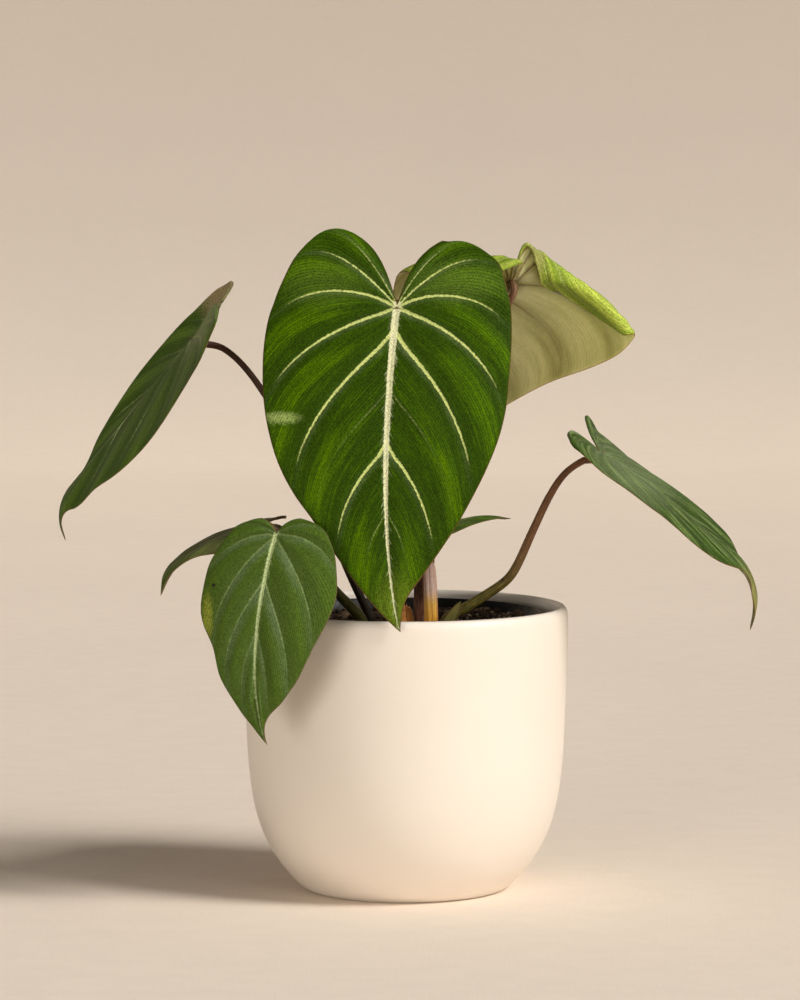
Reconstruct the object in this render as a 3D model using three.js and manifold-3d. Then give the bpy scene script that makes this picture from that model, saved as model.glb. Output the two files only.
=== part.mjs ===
// A potted philodendron: seven velvety heart-shaped leaves on their own petioles, standing in a
// nursery pot of bark soil inside a cream glazed cachepot. Millimetres, +Z up, origin at the centre
// of the cachepot's underside, front towards -Y.
import * as THREE from "three";
import Module from "manifold-3d";

const wasm = await Module();
wasm.setup();

// Cachepot: outer profile from the flat base to the rim, as [radius, height].
const POT_HEIGHT = 136.4;
const POT_FLOOR = 5;
const POT_SIDES = 44;
const POT_OUTSIDE = [
  [47.5, 0],
  [49.6, 0.9],
  [52.4, 3],
  [56.5, 7.6],
  [61.2, 13.4],
  [66.4, 22],
  [70.5, 32],
  [73.1, 42],
  [74.7, 52],
  [76, 66],
  [77.1, 92],
  [78, 118],
  [78.1, 131],
  [77.7, 134.2],
  [76.6, 136],
  [75.8, POT_HEIGHT],
];
const POT_INSIDE = [
  [74.9, 136.1],
  [74.1, 134.6],
  [73.9, 131],
  [73.4, 92],
  [72.3, 66],
  [69.3, 42],
  [62.6, 22],
  [54.5, 10.5],
  [49.5, 6.6],
  [45.5, POT_FLOOR],
];

// Nursery pot: plain tapered plastic pot with a rolled rim, standing on the cachepot's floor.
const CLEARANCE = 0.3;
const NURSERY_WALL = 1.4;
const NURSERY_BASE_RADIUS = 44;
const NURSERY_RIM_RADIUS = 65.5;
const NURSERY_BASE = POT_FLOOR + CLEARANCE;
const NURSERY_TOP = 133.4;
const NURSERY_LIP = 5;
const NURSERY_SIDES = 40;

// Soil: fills the nursery pot to just under its rim, with an uneven top.
const SOIL_TOP = 127.4;
const SOIL_SIDES = 30;
const SOIL_RINGS = [9, 19, 30, 41, 52];
const SOIL_BUMP = 1.1;
const SOIL_HEAP = 3.2;

// Leaf blades.
const BLADE_THICKNESS = 0.7;
const STALK_GAP = 0.6;
const HANDLE = 0.36;
const LOBE_SHARE = 0.2;

// Depth to which stalks and sheaths stand in the soil, and the room around them.
const STALK_DEPTH = 12;
const HOLE_ROOM = 0.5;
const UPRIGHT = 3;
const STALK_SIDES = 10;
const STALK_STEP = 8;
const HOLE_SIDES = 12;

// Outline of half a heart from the top of the lobe to the tip:
// [distance along the midrib / length, distance from it / half width].
const HEART = [
  [-0.235, 0.4],
  [-0.24, 0.55],
  [-0.19, 0.74],
  [-0.09, 0.9],
  [0.03, 0.985],
  [0.16, 1],
  [0.33, 0.94],
  [0.5, 0.78],
  [0.66, 0.545],
  [0.78, 0.36],
  [0.88, 0.17],
  [0.95, 0.055],
  [1, 0],
];
const MAIN_LEFT = [
  [-0.205, 0.39],
  [-0.19, 0.64],
  [-0.134, 0.86],
  [-0.043, 0.93],
  [0.05, 0.98],
  [0.145, 1],
  [0.24, 0.998],
  [0.336, 0.985],
  [0.428, 0.93],
  [0.517, 0.835],
  [0.603, 0.715],
  [0.685, 0.58],
  [0.762, 0.425],
  [0.837, 0.26],
  [0.911, 0.095],
  [1, 0],
];
const MAIN_RIGHT = [
  [-0.232, 0.34],
  [-0.235, 0.57],
  [-0.167, 0.765],
  [-0.081, 0.885],
  [0.013, 0.973],
  [0.111, 1],
  [0.211, 0.992],
  [0.309, 0.963],
  [0.406, 0.907],
  [0.5, 0.824],
  [0.588, 0.706],
  [0.67, 0.56],
  [0.755, 0.43],
  [0.839, 0.297],
  [0.922, 0.157],
  [1, 0],
];
const WAVY_UPPER = [
  [-0.235, 0.4],
  [-0.24, 0.55],
  [-0.19, 0.74],
  [-0.09, 0.9],
  [0.02, 0.975],
  [0.12, 0.96],
  [0.2, 0.88],
  [0.28, 0.86],
  [0.4, 0.86],
  [0.52, 0.75],
  [0.66, 0.545],
  [0.78, 0.36],
  [0.88, 0.17],
  [0.95, 0.055],
  [1, 0],
];
const WAVY_LOWER = [
  [-0.2, 0.36],
  [-0.24, 0.52],
  [-0.2, 0.74],
  [-0.09, 0.9],
  [0.03, 0.985],
  [0.14, 0.98],
  [0.22, 0.94],
  [0.29, 0.86],
  [0.37, 0.82],
  [0.46, 0.81],
  [0.56, 0.72],
  [0.67, 0.55],
  [0.78, 0.36],
  [0.88, 0.17],
  [0.95, 0.055],
  [1, 0],
];
const LOW_LEFT = [
  [-0.062, 0.24],
  [-0.068, 0.336],
  [-0.032, 0.6],
  [0.06, 0.81],
  [0.137, 0.91],
  [0.278, 1],
  [0.394, 0.953],
  [0.543, 0.778],
  [0.677, 0.606],
  [0.749, 0.464],
  [0.805, 0.333],
  [0.854, 0.175],
  [0.893, 0.086],
  [0.934, 0.036],
  [1, 0],
];
const LOW_RIGHT = [
  [-0.067, 0.26],
  [-0.058, 0.41],
  [-0.022, 0.69],
  [0.031, 0.805],
  [0.112, 0.93],
  [0.167, 0.985],
  [0.249, 1],
  [0.33, 0.998],
  [0.392, 0.97],
  [0.454, 0.885],
  [0.514, 0.765],
  [0.561, 0.685],
  [0.624, 0.63],
  [0.686, 0.575],
  [0.746, 0.475],
  [0.805, 0.36],
  [0.868, 0.243],
  [0.92, 0.131],
  [1, 0],
];

// Main veins, from the edge of the sinus to the tip: start on the midrib (share of the length),
// end on the margin (share of its run), and the angles at which each leaves and arrives.
const VEINS = {
  start: [0, 0.006, 0.01, 0.014, 0.018, 0.1, 0.28, 0.45, 0.65, 1],
  end: [0, 0.085, 0.14, 0.29, 0.465, 0.66, 0.74, 0.815, 0.9, 1],
  leave: [163, 152, 137, 122, 72, 45, 45, 45, 42, 30],
  arrive: [118, 50, 62, 35, 19, 3, 3, 4, 12, 20],
};
const LOW_VEINS = {
  start: [0, 0.006, 0.012, 0.02, 0.23, 0.48, 0.7, 1],
  end: [0, 0.12, 0.28, 0.58, 0.77, 0.88, 0.95, 1],
  leave: [150, 125, 95, 45, 30, 26, 26, 30],
  arrive: [105, 60, 40, 5, -6, 0, 5, 20],
};

// Leaves: where the blade meets its petiole, which way the blade points, and its shape.
// Angles in degrees. Left and right are the leaf's own, seen from above with the tip away.
const LEAVES = {
  main: {
    attach: [-3.9, -45, 282.2],
    heading: -87.3,
    pitch: -69.1,
    roll: 0,
    length: 155,
    bend: 14,
    hook: 0,
    hookFrom: 0.85,
    lobeBend: 12,
    sway: 6.6,
    twist: 0,
    wave: 0,
    waves: 3,
    columns: 20,
    rows: 6,
    veins: VEINS,
    left: { width: 55.7, margin: MAIN_LEFT, rise: 6, edge: -8 },
    right: { width: 60, margin: MAIN_RIGHT, rise: 6, edge: -8 },
  },
  upper_left: {
    attach: [-99.9, -20, 266.3],
    heading: 166.5,
    pitch: -48.4,
    roll: -5.3,
    length: 123.4,
    bend: 3.5,
    hook: 69,
    hookFrom: 0.797,
    lobeBend: 2.6,
    sway: 0,
    twist: 11.8,
    wave: 0.87,
    waves: 3.1,
    columns: 18,
    rows: 6,
    veins: VEINS,
    left: { width: 59.3, margin: HEART, rise: -15.6, edge: -18.6, lobe: 0.795, lift: 6.8, phase: 1.35 },
    right: { width: 49, margin: HEART, rise: -8.5, edge: 40.5, lobe: 0.9, lift: 3.8, phase: 1.5 },
  },
  back_right: {
    attach: [51.3, 15, 290.7],
    heading: 110.6,
    pitch: -40.5,
    roll: 2.5,
    length: 108.7,
    bend: 19.3,
    hook: 0,
    hookFrom: 0.85,
    lobeBend: 38,
    sway: 0,
    twist: 1.3,
    wave: 0,
    waves: 3,
    columns: 20,
    rows: 11,
    veins: VEINS,
    left: {
      width: 59.6,
      margin: HEART,
      rise: 68.5,
      edge: -24.6,
      lobe: 1.545,
      lift: 36.3,
      curl: { along: 0.1, out: 0.577, line: 69.5, radius: 8.7, angle: 87.6 },
    },
    right: {
      width: 73.9,
      margin: HEART,
      rise: 25.9,
      edge: -55.5,
      lobe: 0.615,
      lift: 36.6,
      curl: { along: -0.01, out: 0.37, line: 68, radius: 2.6, angle: 209 },
    },
  },
  right: {
    attach: [92.9, -5, 210.8],
    heading: 4.8,
    pitch: -32,
    roll: 7.5,
    length: 122.7,
    bend: 18.2,
    hook: 59.7,
    hookFrom: 0.682,
    lobeBend: 16.7,
    sway: 0,
    twist: -2.1,
    wave: 1.7,
    waves: 2.71,
    columns: 20,
    rows: 6,
    veins: VEINS,
    left: {
      width: 37,
      margin: WAVY_UPPER,
      rise: 5.8,
      edge: 2.3,
      lobe: 0.326,
      lift: 25.5,
      phase: 0.75,
    },
    right: {
      width: 52.7,
      margin: WAVY_LOWER,
      rise: 1.2,
      edge: -10,
      lobe: 0.64,
      lift: 6.8,
      phase: 0.375,
    },
  },
  lower_left: {
    attach: [-59.2, -81, 178.2],
    heading: -108.6,
    pitch: -73.6,
    roll: 0,
    length: 97.8,
    bend: 18,
    hook: 0,
    hookFrom: 0.85,
    lobeBend: 10,
    sway: 6.6,
    twist: 0,
    wave: 0,
    waves: 3,
    columns: 18,
    rows: 6,
    veins: LOW_VEINS,
    left: { width: 35.3, margin: LOW_LEFT, rise: 5, edge: -14 },
    right: { width: 30.5, margin: LOW_RIGHT, rise: 5, edge: -14 },
  },
  left_back: {
    attach: [-69.6, -34, 176.5],
    heading: 203,
    pitch: -8.4,
    roll: 18.5,
    length: 62.6,
    bend: 35.2,
    hook: 27.5,
    hookFrom: 0.612,
    lobeBend: 44.6,
    sway: 0,
    twist: -12,
    wave: 0,
    waves: 3,
    columns: 16,
    rows: 5,
    veins: VEINS,
    left: { width: 30.2, margin: HEART, rise: 1.2, edge: -72, lobe: 0.5 },
    right: { width: 35.3, margin: HEART, rise: 15.1, edge: 12.6, lobe: 0.85, lift: 7.2 },
  },
  hidden: {
    attach: [-8.2, -38, 170.6],
    heading: 5.7,
    pitch: 17,
    roll: 0.8,
    length: 59.6,
    bend: 7.7,
    hook: 17.4,
    hookFrom: 0.6,
    lobeBend: 0,
    sway: 0,
    twist: 0,
    wave: 0,
    waves: 3,
    columns: 14,
    rows: 5,
    veins: VEINS,
    left: { width: 20.6, margin: HEART, rise: 2.4, edge: -27.9, lobe: 0.7 },
    right: { width: 21.3, margin: HEART, rise: -3.6, edge: -19, lobe: 0.7 },
  },
};

// Petioles: the run from the soil to the blade, and the radius at the foot and below the blade.
// The last stretch, to the blade's own attachment, is added from the leaf.
const PETIOLES = {
  main: {
    path: [[6.9, -8, 129], [6.4, -10, 151], [4, -12, 188], [1, -20, 236], [-2, -31, 270]],
    radius: [3, 2.1],
  },
  upper_left: {
    path: [
      [-16.9, -2.5, 129.7],
      [-26.3, -6, 150.9],
      [-45, -11, 195],
      [-60, -14, 226.5],
      [-74, -15, 248.4],
      [-86, -17, 260],
    ],
    radius: [2.1, 1.5],
  },
  back_right: {
    path: [[12, -2.5, 129], [12.2, 0, 165], [20.5, 5, 210], [38, 11, 256], [48, 14, 277]],
    radius: [2.4, 1.6],
  },
  right: {
    path: [
      [19.3, -12, 130.3],
      [30.6, -12, 137.5],
      [43.4, -11, 145.6],
      [48.7, -11, 149.9],
      [52.1, -10.5, 154.4],
      [55.2, -10, 160.4],
      [61.6, -9, 174.7],
      [68.8, -8, 189.5],
      [76, -7, 200],
      [85, -6, 206.3],
    ],
    radius: [2.7, 1.6],
  },
  lower_left: {
    path: [
      [-21.3, -12, 130.8],
      [-32.5, -25, 144.8],
      [-49, -46, 166],
      [-60.5, -64, 178.5],
      [-63.5, -72, 181.5],
    ],
    radius: [2.9, 1],
  },
  left_back: {
    path: [[-21, 5.5, 130.5], [-32.8, -8, 143.1], [-49, -22, 160], [-60, -30, 168]],
    radius: [1.9, 1.3],
  },
  hidden: {
    path: [[-7, -24, 129], [-8, -27, 145], [-9, -34, 160]],
    radius: [1.8, 1.2],
  },
};

// Papery sheaths around the crown: a foot on the soil, a lean, and the shape of the strip.
const SHEATHS = {
  cataphyll: {
    foot: [12.3, -16.3, 127],
    top: [11.4, -16.8, 160],
    width: 6.6,
    cup: -1,
    taper: 0.75,
    notch: 0,
  },
  sheath_brown: {
    foot: [1.2, -14, 127],
    top: [0, -15, 139.5],
    width: 6.4,
    cup: 1.6,
    taper: 0.5,
    notch: 0,
  },
  sheath_right: {
    foot: [18.5, -18.6, 127],
    top: [28, -18.8, 141.6],
    width: 6,
    cup: 1.4,
    taper: 0.3,
    notch: 3,
  },
};
const SHEATH_THICKNESS = 0.8;
const SHEATH_DEPTH = 5;
const SHEATH_ROWS = 7;
const SHEATH_COLUMNS = 6;

const MATERIALS = {
  ceramic: new THREE.MeshStandardMaterial({ color: 0xf3e6cf, roughness: 0.35 }),
  plastic: new THREE.MeshStandardMaterial({ color: 0x1b1a19, roughness: 0.6 }),
  soil: new THREE.MeshStandardMaterial({ color: 0x2a211a, roughness: 1 }),
  dark_leaf: new THREE.MeshStandardMaterial({ color: 0x3c6420, roughness: 0.7 }),
  young_leaf: new THREE.MeshStandardMaterial({ color: 0x9c9858, roughness: 0.7 }),
  stalk: new THREE.MeshStandardMaterial({ color: 0x55402a, roughness: 0.6 }),
  sheath: new THREE.MeshStandardMaterial({ color: 0xc98d6c, roughness: 0.8 }),
};

const radians = THREE.MathUtils.degToRad;
const clamp = THREE.MathUtils.clamp;

// A value between the whole-numbered knots of a list, without overshoot.
function between(values, at) {
  const last = values.length - 1;
  const i = Math.min(Math.floor(at), last - 1);
  const t = at - i;
  const step = (k) => values[k + 1] - values[k];
  const slope = (k) => {
    if (k === 0) return step(0);
    if (k === last) return step(last - 1);
    const before = step(k - 1);
    const after = step(k);
    return before * after <= 0 ? 0 : (2 * before * after) / (before + after);
  };
  const square = t * t;
  const cube = square * t;
  return (
    (2 * cube - 3 * square + 1) * values[i] +
    (cube - 2 * square + t) * slope(i) +
    (3 * square - 2 * cube) * values[i + 1] +
    (cube - square) * slope(i + 1)
  );
}

// A smooth curve through points of any dimension, as a function of the share of its run.
function smoothRun(points) {
  const last = points.length - 1;
  const mirror = (a, b) => a.map((value, k) => 2 * value - b[k]);
  const all = [mirror(points[0], points[1]), ...points, mirror(points[last], points[last - 1])];
  const fine = [];
  const steps = 24;
  for (let i = 0; i < last; i++) {
    const [a, b, c, d] = all.slice(i, i + 4);
    for (let s = 0; s < steps; s++) {
      const t = s / steps;
      fine.push(
        b.map(
          (value, k) =>
            0.5 *
            (2 * value +
              (c[k] - a[k]) * t +
              (2 * a[k] - 5 * value + 4 * c[k] - d[k]) * t * t +
              (3 * value - a[k] - 3 * c[k] + d[k]) * t * t * t),
        ),
      );
    }
  }
  fine.push(points[last]);
  const run = [0];
  for (let i = 1; i < fine.length; i++)
    run.push(run[i - 1] + Math.hypot(...fine[i].map((value, k) => value - fine[i - 1][k])));
  const whole = run[run.length - 1];
  return (share) => {
    const goal = clamp(share, 0, 1) * whole;
    let i = 1;
    while (i < run.length - 1 && run[i] < goal) i++;
    const t = (goal - run[i - 1]) / (run[i] - run[i - 1]);
    return fine[i - 1].map((value, k) => value + (fine[i][k] - value) * t);
  };
}

// Flat position [along, out] on one half of a leaf: vein number P, share T from midrib to margin.
function flatPoint(leaf, half, P, T) {
  const { start, end, leave, arrive } = leaf.veins;
  const foot = [between(start, P) * leaf.length, 0];
  const tip = half.run(between(end, P));
  const reach = Math.hypot(tip[0] - foot[0], tip[1] - foot[1]) * HANDLE;
  const out = radians(between(leave, P));
  const back = radians(between(arrive, P));
  const first = [foot[0] + Math.cos(out) * reach, foot[1] + Math.sin(out) * reach];
  const second = [tip[0] - Math.cos(back) * reach, tip[1] - Math.sin(back) * reach];
  const rest = 1 - T;
  return [0, 1].map(
    (k) =>
      rest ** 3 * foot[k] +
      3 * rest * rest * T * first[k] +
      3 * rest * T * T * second[k] +
      T ** 3 * tip[k],
  );
}

// The midrib in side view: distance along, height and slope at a flat distance.
function railOf(leaf) {
  const first = -0.4 * leaf.length;
  const count = 280;
  const step = (leaf.length - first) / count;
  const slope = (along) => {
    const share = along / leaf.length;
    if (share < 0) return (radians(leaf.lobeBend) * -share) / 0.25;
    const hook = clamp((share - leaf.hookFrom) / (1 - leaf.hookFrom), 0, 1);
    return -radians(leaf.bend) * share - radians(leaf.hook) * hook;
  };
  const rows = [[0, 0]];
  for (let i = 1; i <= count; i++) {
    const before = slope(first + (i - 1) * step);
    const after = slope(first + i * step);
    const [x, z] = rows[i - 1];
    rows.push([
      x + ((Math.cos(before) + Math.cos(after)) / 2) * step,
      z + ((Math.sin(before) + Math.sin(after)) / 2) * step,
    ]);
  }
  const read = (along) => {
    const at = clamp((along - first) / step, 0, count);
    const i = Math.min(Math.floor(at), count - 1);
    return rows[i].map((value, k) => value + (rows[i + 1][k] - value) * (at - i));
  };
  const zero = read(0);
  return (along) => {
    const [x, z] = read(along);
    return [x - zero[0], z - zero[1], slope(along)];
  };
}

// A margin rolled under about a straight line of the flat leaf.
function curled(curl, leaf, half, along, out) {
  const origin = [curl.along * leaf.length, curl.out * half.width];
  const line = radians(curl.line);
  const limit = radians(curl.angle);
  const [dx, dy] = [Math.cos(line), Math.sin(line)];
  const past = -(along - origin[0]) * dy + (out - origin[1]) * dx;
  const beside = (along - origin[0]) * dx + (out - origin[1]) * dy;
  if (past <= 0) return [along, out, 0];
  const turn = Math.min(past / curl.radius, limit);
  const rest = Math.max(past - curl.radius * limit, 0);
  const across = curl.radius * Math.sin(turn) + rest * Math.cos(limit);
  const down = curl.radius * (1 - Math.cos(turn)) + rest * Math.sin(limit);
  return [
    origin[0] + dx * beside - dy * across,
    origin[1] + dy * beside + dx * across,
    -down,
  ];
}

// The leaf's own axes in the room: towards the tip, to its left, and out of its upper face.
function leafAxes(leaf) {
  const heading = radians(leaf.heading);
  const pitch = radians(leaf.pitch);
  const tip = new THREE.Vector3(
    Math.cos(heading) * Math.cos(pitch),
    Math.sin(heading) * Math.cos(pitch),
    Math.sin(pitch),
  );
  const up = new THREE.Vector3(
    -Math.cos(heading) * Math.sin(pitch),
    -Math.sin(heading) * Math.sin(pitch),
    Math.cos(pitch),
  );
  const left = new THREE.Vector3().crossVectors(up, tip);
  const roll = radians(leaf.roll);
  const level = left.clone().multiplyScalar(Math.cos(roll)).addScaledVector(up, Math.sin(roll));
  up.multiplyScalar(Math.cos(roll)).addScaledVector(left, -Math.sin(roll));
  return { tip, left: level, up };
}

// A point of the blade's middle surface.
function bladePoint(leaf, side, P, T) {
  const half = leaf[side];
  const count = leaf.veins.start.length - 1;
  let [along, out] = flatPoint(leaf, half, P, T);
  let height = 0;
  if (half.curl) [along, out, height] = curled(half.curl, leaf, half, along, out);
  const calm = clamp(Math.min(P / 1.5, (count - P) / 1.5), 0, 1);
  const turn = (P * leaf.waves) / count + (half.phase || 0);
  height += leaf.wave * Math.sin(2 * Math.PI * turn) * T ** 3 * calm;
  height += (half.lift || 0) * clamp(-along / (LOBE_SHARE * leaf.length), 0, 3) ** 1.5;
  const rise = radians(half.rise);
  const spread = (radians(half.edge) - rise) / half.width;
  const tilt = rise + spread * Math.max(out, 0);
  let across = out * Math.cos(rise);
  let lifted = out * Math.sin(rise);
  if (out > 0 && Math.abs(spread) > 1e-6) {
    across = (Math.sin(tilt) - Math.sin(rise)) / spread;
    lifted = (Math.cos(rise) - Math.cos(tilt)) / spread;
  }
  across -= Math.sin(tilt) * height;
  lifted += Math.cos(tilt) * height;
  const share = clamp(along / leaf.length, 0, 1);
  const bow = leaf.sway * Math.max(Math.sin(Math.PI * share ** 1.3), 0) ** 0.65;
  const twist = radians(leaf.twist) * share;
  const signed = side === "left" ? -across : across;
  const lateral = signed * Math.cos(twist) - lifted * Math.sin(twist) + bow;
  const above = signed * Math.sin(twist) + lifted * Math.cos(twist);
  const [x, z, slope] = leaf.rail(along);
  return new THREE.Vector3(...leaf.attach)
    .addScaledVector(leaf.axes.tip, x - Math.sin(slope) * above)
    .addScaledVector(leaf.axes.left, -lateral)
    .addScaledVector(leaf.axes.up, z + Math.cos(slope) * above);
}

// A closed plate from an open sheet: both faces alike, half the thickness to each side.
function thickened(points, faces, thickness) {
  const normals = points.map(() => new THREE.Vector3());
  const edges = new Map();
  for (const [a, b, c] of faces) {
    const ab = points[b].clone().sub(points[a]);
    const face = ab.cross(points[c].clone().sub(points[a]));
    for (const k of [a, b, c]) normals[k].add(face);
    for (const [from, to] of [[a, b], [b, c], [c, a]]) {
      if (edges.has(to + "_" + from)) edges.delete(to + "_" + from);
      else edges.set(from + "_" + to, [from, to]);
    }
  }
  const count = points.length;
  const corners = [];
  for (const sign of [1, -1])
    points.forEach((point, k) => {
      const step = (sign * thickness) / 2;
      corners.push(point.clone().addScaledVector(normals[k].clone().normalize(), step));
    });
  const index = [];
  for (const [a, b, c] of faces) index.push(a, b, c, c + count, b + count, a + count);
  for (const [from, to] of edges.values())
    index.push(to, from, from + count, to, from + count, to + count);
  return { corners, index };
}

function meshOf(name, corners, index, material) {
  const geometry = new THREE.BufferGeometry();
  const flat = corners.flatMap((corner) => [corner.x, corner.y, corner.z]);
  geometry.setAttribute("position", new THREE.Float32BufferAttribute(flat, 3));
  geometry.setIndex(index);
  geometry.computeVertexNormals();
  const mesh = new THREE.Mesh(geometry, material);
  mesh.name = name;
  return mesh;
}

// One leaf blade: both halves share the midrib and end in one point at the tip.
function bladeMesh(name, leaf, material) {
  const { columns, rows } = leaf;
  const count = leaf.veins.start.length - 1;
  const points = [];
  const middle = [];
  for (let i = 0; i <= columns; i++) {
    middle.push(points.length);
    points.push(bladePoint(leaf, "left", (count * i) / columns, 0));
  }
  const faces = [];
  for (const side of ["left", "right"]) {
    const grid = middle.map((start) => [start]);
    for (let i = 0; i < columns; i++)
      for (let j = 1; j <= rows; j++) {
        grid[i].push(points.length);
        points.push(bladePoint(leaf, side, (count * i) / columns, j / rows));
      }
    grid[columns] = Array(rows + 1).fill(middle[columns]);
    for (let i = 0; i < columns; i++)
      for (let j = 0; j < rows; j++) {
        const a = grid[i][j];
        const b = grid[i + 1][j];
        const c = grid[i + 1][j + 1];
        const d = grid[i][j + 1];
        const pair = b === c ? [[a, b, d]] : [[a, b, c], [a, c, d]];
        for (const face of pair) faces.push(side === "left" ? face : face.reverse());
      }
  }
  const { corners, index } = thickened(points, faces, BLADE_THICKNESS);
  return meshOf(name, corners, index, material);
}

function lengthOf(points) {
  let total = 0;
  for (let i = 1; i < points.length; i++)
    total += Math.hypot(...points[i].map((value, k) => value - points[i - 1][k]));
  return total;
}

// A round stalk along a smooth run, with flat ends; its top faces the given way.
function stalkSolid(path, radiusAt, sides, steps, facing, sink) {
  const run = smoothRun(path);
  const centres = [];
  for (let i = 0; i <= steps; i++) centres.push(new THREE.Vector3(...run(i / steps)));
  const foot = centres[0].clone().sub(centres[1]).normalize();
  centres[0].addScaledVector(foot, sink);
  const corners = [];
  const index = [];
  let across = new THREE.Vector3(1, 0, 0);
  centres.forEach((centre, i) => {
    const before = centres[Math.max(i - 1, 0)];
    const after = centres[Math.min(i + 1, steps)];
    const ahead = i === steps ? facing : after.clone().sub(before).normalize();
    across = across.addScaledVector(ahead, -across.dot(ahead)).normalize();
    const beside = new THREE.Vector3().crossVectors(ahead, across);
    for (let k = 0; k < sides; k++) {
      const turn = (2 * Math.PI * k) / sides;
      const radius = radiusAt(i / steps);
      corners.push(
        centre
          .clone()
          .addScaledVector(across, radius * Math.cos(turn))
          .addScaledVector(beside, radius * Math.sin(turn)),
      );
      if (i < steps) {
        const a = i * sides + k;
        const b = i * sides + ((k + 1) % sides);
        index.push(a, b, b + sides, a, b + sides, a + sides);
      }
    }
  });
  const top = steps * sides;
  for (let k = 1; k < sides - 1; k++) {
    index.push(0, k + 1, k);
    index.push(top, top + k, top + k + 1);
  }
  return { corners, index };
}

// A body turned about the vertical axis from a closed half profile that starts and ends on it.
function turned(profile, sides, lift = () => 0) {
  const corners = [];
  const index = [];
  const rings = profile.map(([radius, height], row) => {
    if (radius === 0) {
      corners.push(new THREE.Vector3(0, 0, height + lift(0, 0, row)));
      return Array(sides).fill(corners.length - 1);
    }
    const ring = [];
    for (let k = 0; k < sides; k++) {
      const turn = (2 * Math.PI * k) / sides;
      const x = radius * Math.cos(turn);
      const y = radius * Math.sin(turn);
      ring.push(corners.length);
      corners.push(new THREE.Vector3(x, y, height + lift(x, y, row)));
    }
    return ring;
  });
  for (let row = 0; row < rings.length - 1; row++)
    for (let k = 0; k < sides; k++) {
      const next = (k + 1) % sides;
      const [a, b] = [rings[row][k], rings[row][next]];
      const [c, d] = [rings[row + 1][next], rings[row + 1][k]];
      if (a !== b) index.push(a, b, c);
      if (c !== d) index.push(a, c, d);
    }
  return { corners, index };
}

function solidOf({ corners, index }) {
  const flat = new Float32Array(corners.flatMap((corner) => [corner.x, corner.y, corner.z]));
  const mesh = new wasm.Mesh({
    numProp: 3,
    vertProperties: flat,
    triVerts: new Uint32Array(index),
  });
  return new wasm.Manifold(mesh);
}

function meshOfSolid(name, solid, material) {
  const mesh = solid.getMesh();
  const corners = [];
  for (let k = 0; k < mesh.numVert; k++) {
    const at = k * mesh.numProp;
    corners.push(new THREE.Vector3(...mesh.vertProperties.subarray(at, at + 3)));
  }
  return meshOf(name, corners, [...mesh.triVerts], material);
}

const group = new THREE.Group();
group.name = "potted_philodendron_gloriosum";

// Cachepot and nursery pot.
const potBody = turned(
  [[0, 0], ...POT_OUTSIDE, ...POT_INSIDE, [0, POT_FLOOR]],
  POT_SIDES,
);
group.add(meshOf("pot", potBody.corners, potBody.index, MATERIALS.ceramic));

const nurserySlope = (height) => {
  const share = (height - NURSERY_BASE) / (NURSERY_TOP - NURSERY_BASE);
  const wall = NURSERY_RIM_RADIUS - 2;
  return NURSERY_BASE_RADIUS + (wall - NURSERY_BASE_RADIUS) * share;
};
const lipFoot = NURSERY_TOP - NURSERY_LIP;
const nurseryBody = turned(
  [
    [0, NURSERY_BASE],
    [NURSERY_BASE_RADIUS, NURSERY_BASE],
    [nurserySlope(lipFoot - 1), lipFoot - 1],
    [NURSERY_RIM_RADIUS, lipFoot],
    [NURSERY_RIM_RADIUS, NURSERY_TOP - 0.6],
    [NURSERY_RIM_RADIUS - 0.6, NURSERY_TOP],
    [NURSERY_RIM_RADIUS - 1.6, NURSERY_TOP],
    [nurserySlope(lipFoot) - NURSERY_WALL, lipFoot - 2],
    [NURSERY_BASE_RADIUS - NURSERY_WALL, NURSERY_BASE + NURSERY_WALL],
    [0, NURSERY_BASE + NURSERY_WALL],
  ],
  NURSERY_SIDES,
);
group.add(meshOf("nursery_pot", nurseryBody.corners, nurseryBody.index, MATERIALS.plastic));

// Leaves and petioles.
const holes = [];

for (const [name, leaf] of Object.entries(LEAVES)) {
  leaf.axes = leafAxes(leaf);
  leaf.rail = railOf(leaf);
  for (const half of [leaf.left, leaf.right])
    half.run = smoothRun(
      half.margin.map(([along, out]) => [
        along * leaf.length * (along < 0 ? half.lobe || 1 : 1),
        out * half.width,
      ]),
    );
  const young = name === "back_right";
  group.add(bladeMesh("blade_" + name, leaf, young ? MATERIALS.young_leaf : MATERIALS.dark_leaf));

  const { path, radius } = PETIOLES[name];
  const foot = new THREE.Vector3(...path[0]);
  const direction = new THREE.Vector3(...path[1]).sub(foot).normalize();
  direction.z += UPRIGHT;
  direction.normalize();
  const below = foot.clone().addScaledVector(direction, -STALK_DEPTH).toArray();
  const droop = Math.max(-Math.min(leaf.left.rise, leaf.right.rise), 0);
  const gap = BLADE_THICKNESS / 2 + STALK_GAP + radius[1] * Math.tan(radians(droop));
  const attach = new THREE.Vector3(...leaf.attach);
  const ends = [5, gap].map((step) => attach.clone().addScaledVector(leaf.axes.up, -step).toArray());
  const thick = (share) => radius[0] + (radius[1] - radius[0]) * Math.min(share * 1.15, 1);
  const roomy = (share) => thick(share) + HOLE_ROOM;
  const whole = [below, ...path, ...ends];
  const steps = Math.max(10, Math.round(lengthOf(whole) / STALK_STEP));
  const stalk = stalkSolid(whole, thick, STALK_SIDES, steps, leaf.axes.up, 0);
  group.add(meshOf("petiole_" + name, stalk.corners, stalk.index, MATERIALS.stalk));
  holes.push(solidOf(stalkSolid(whole, roomy, HOLE_SIDES, steps, leaf.axes.up, HOLE_ROOM)));
}

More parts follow.
